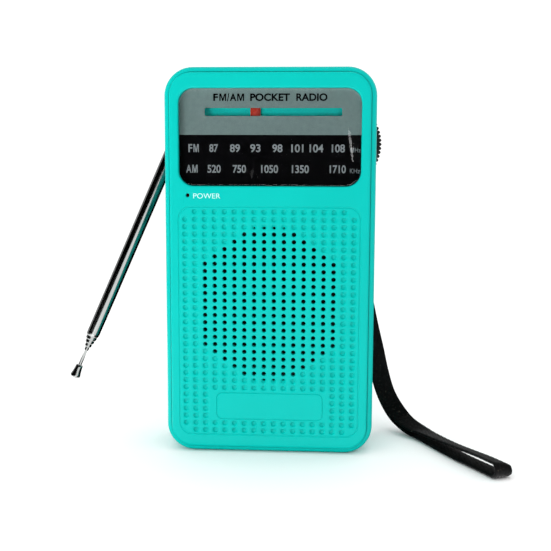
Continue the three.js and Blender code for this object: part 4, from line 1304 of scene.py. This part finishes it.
def dress_frame():
    """Gives each CAD node that stays in view a finish of its own."""
    can = grained("tinned_can", srgb(196, 196, 190), 0.3, 0.06, 300.0, 0.004, metallic=1.0)
    sleeve = grained("capacitor_sleeve", srgb(22, 34, 60), 0.35, 0.12, 200.0, 0.003)
    moulded = grained("chip_epoxy", srgb(28, 28, 30), 0.55, 0.15, 900.0, 0.008)
    varicap = grained("capacitor_case", srgb(214, 210, 198), 0.4, 0.04, 120.0, 0.003)
    finishes = {
        "circuit_board": board_look(), "ferrite_coil": wound_look(), "dial_cord": string_look(),
        "power_led": lamp_look(), "ferrite_bar": looks["ferrite"], "radio_ic": moulded,
        "capacitor_large": sleeve, "capacitor_small": sleeve, "tuning_capacitor": varicap,
        "volume_pot": can, "band_switch_body": can, "battery_bridge": looks["nickel"],
        "battery_terminal_1": looks["nickel"], "battery_terminal_2": looks["nickel"],
        "dial_pulley_pin": looks["steel"],
    }
    finishes.update({f"if_transformer_{i}": can for i in (1, 2, 3)})
    for name, finish in finishes.items():
        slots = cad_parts[name].data.materials
        slots.clear()
        slots.append(finish)


dress_frame()


# ---- floor and light
def stage():
    skin = Skin()
    skin.fill(skin.loop((x, z, 0) for x, z in circle(4000.0, sides=64)()), axes=(0, 1))
    floor = link("floor", to_mesh("floor", skin))
    look = Look("pale_floor").mottle((0.95, 0.95, 0.95, 1), 0.01, 3.0).gloss(0.8, 0.9, 4.0)
    look.set(Specular_IOR_Level=0.0)
    floor.data.materials.append(look.material)
    floor.visible_glossy = False

    world = bpy.data.worlds.new("studio")
    world.use_nodes = True
    background = world.node_tree.nodes["Background"].inputs
    background["Color"].default_value = (1, 1, 1, 1)
    background["Strength"].default_value = 1.1
    world.cycles_visibility.glossy = False
    world.cycles_visibility.transmission = False
    bpy.context.scene.world = world

    def softbox(name, place, target, size, power, lights="gloss", shape="RECTANGLE", roll=0):
        """A lamp that lights everything ("all"), matt surfaces only, or gloss only."""
        data = bpy.data.lights.new(name, "AREA")
        data.shape, data.size, data.size_y = shape, *size
        data.energy = power
        lamp = link(name, data)
        lamp.location = place
        aim = Vector(target) - Vector(place)
        turn = Matrix.Rotation(math.radians(roll), 3, "Z")
        lamp.rotation_euler = (aim.to_track_quat("-Z", "Y").to_matrix() @ turn).to_euler()
        lamp.visible_camera = False
        lamp.visible_glossy = lights != "matt"
        lamp.visible_transmission = lights == "all"
        lamp.visible_diffuse = lights != "gloss"

    middle, pane = (0, 0, 0.06), (0.024, -0.013, 0.094)
    for lamp in (
        ("key", (-0.2, -0.2, 0.05), (0, -0.014, 0.03), (0.12, 0.09), 0.25, "matt"),
        ("top", (0.1, 0.15, 1.2), middle, (0.8, 0.8), 2.2, "all"),
        ("table_front", (0.15, -0.3, 0.0005), (0.15, -0.3, 1), (0.5, 0.56), 2.6),
        ("table_left", (-0.15, 0.02, 0.0005), (-0.15, 0.02, 1), (0.2, 0.3), 0.57),
        ("window_glint", (0.054, -1.5, 0.13), pane, (0.0048, 0.066), 0.0045, "gloss", "ELLIPSE", 8),
        ("window_spark", (-0.138, -1.5, 0.075), pane, (0.006, 0.018), 0.00016, "gloss", "ELLIPSE", -8),
        ("back_card", (0, 1.3, 0.45), middle, (2.2, 1.2), 10.0),
        ("left_card", (-1.0, 0.35, 0.1), middle, (0.4, 0.9), 1.2),
        ("right_card", (1.0, 0.3, 0.2), middle, (0.4, 0.9), 1.2),
    ):
        softbox(*lamp)
    bpy.context.scene.view_settings.view_transform = "Standard"


stage()
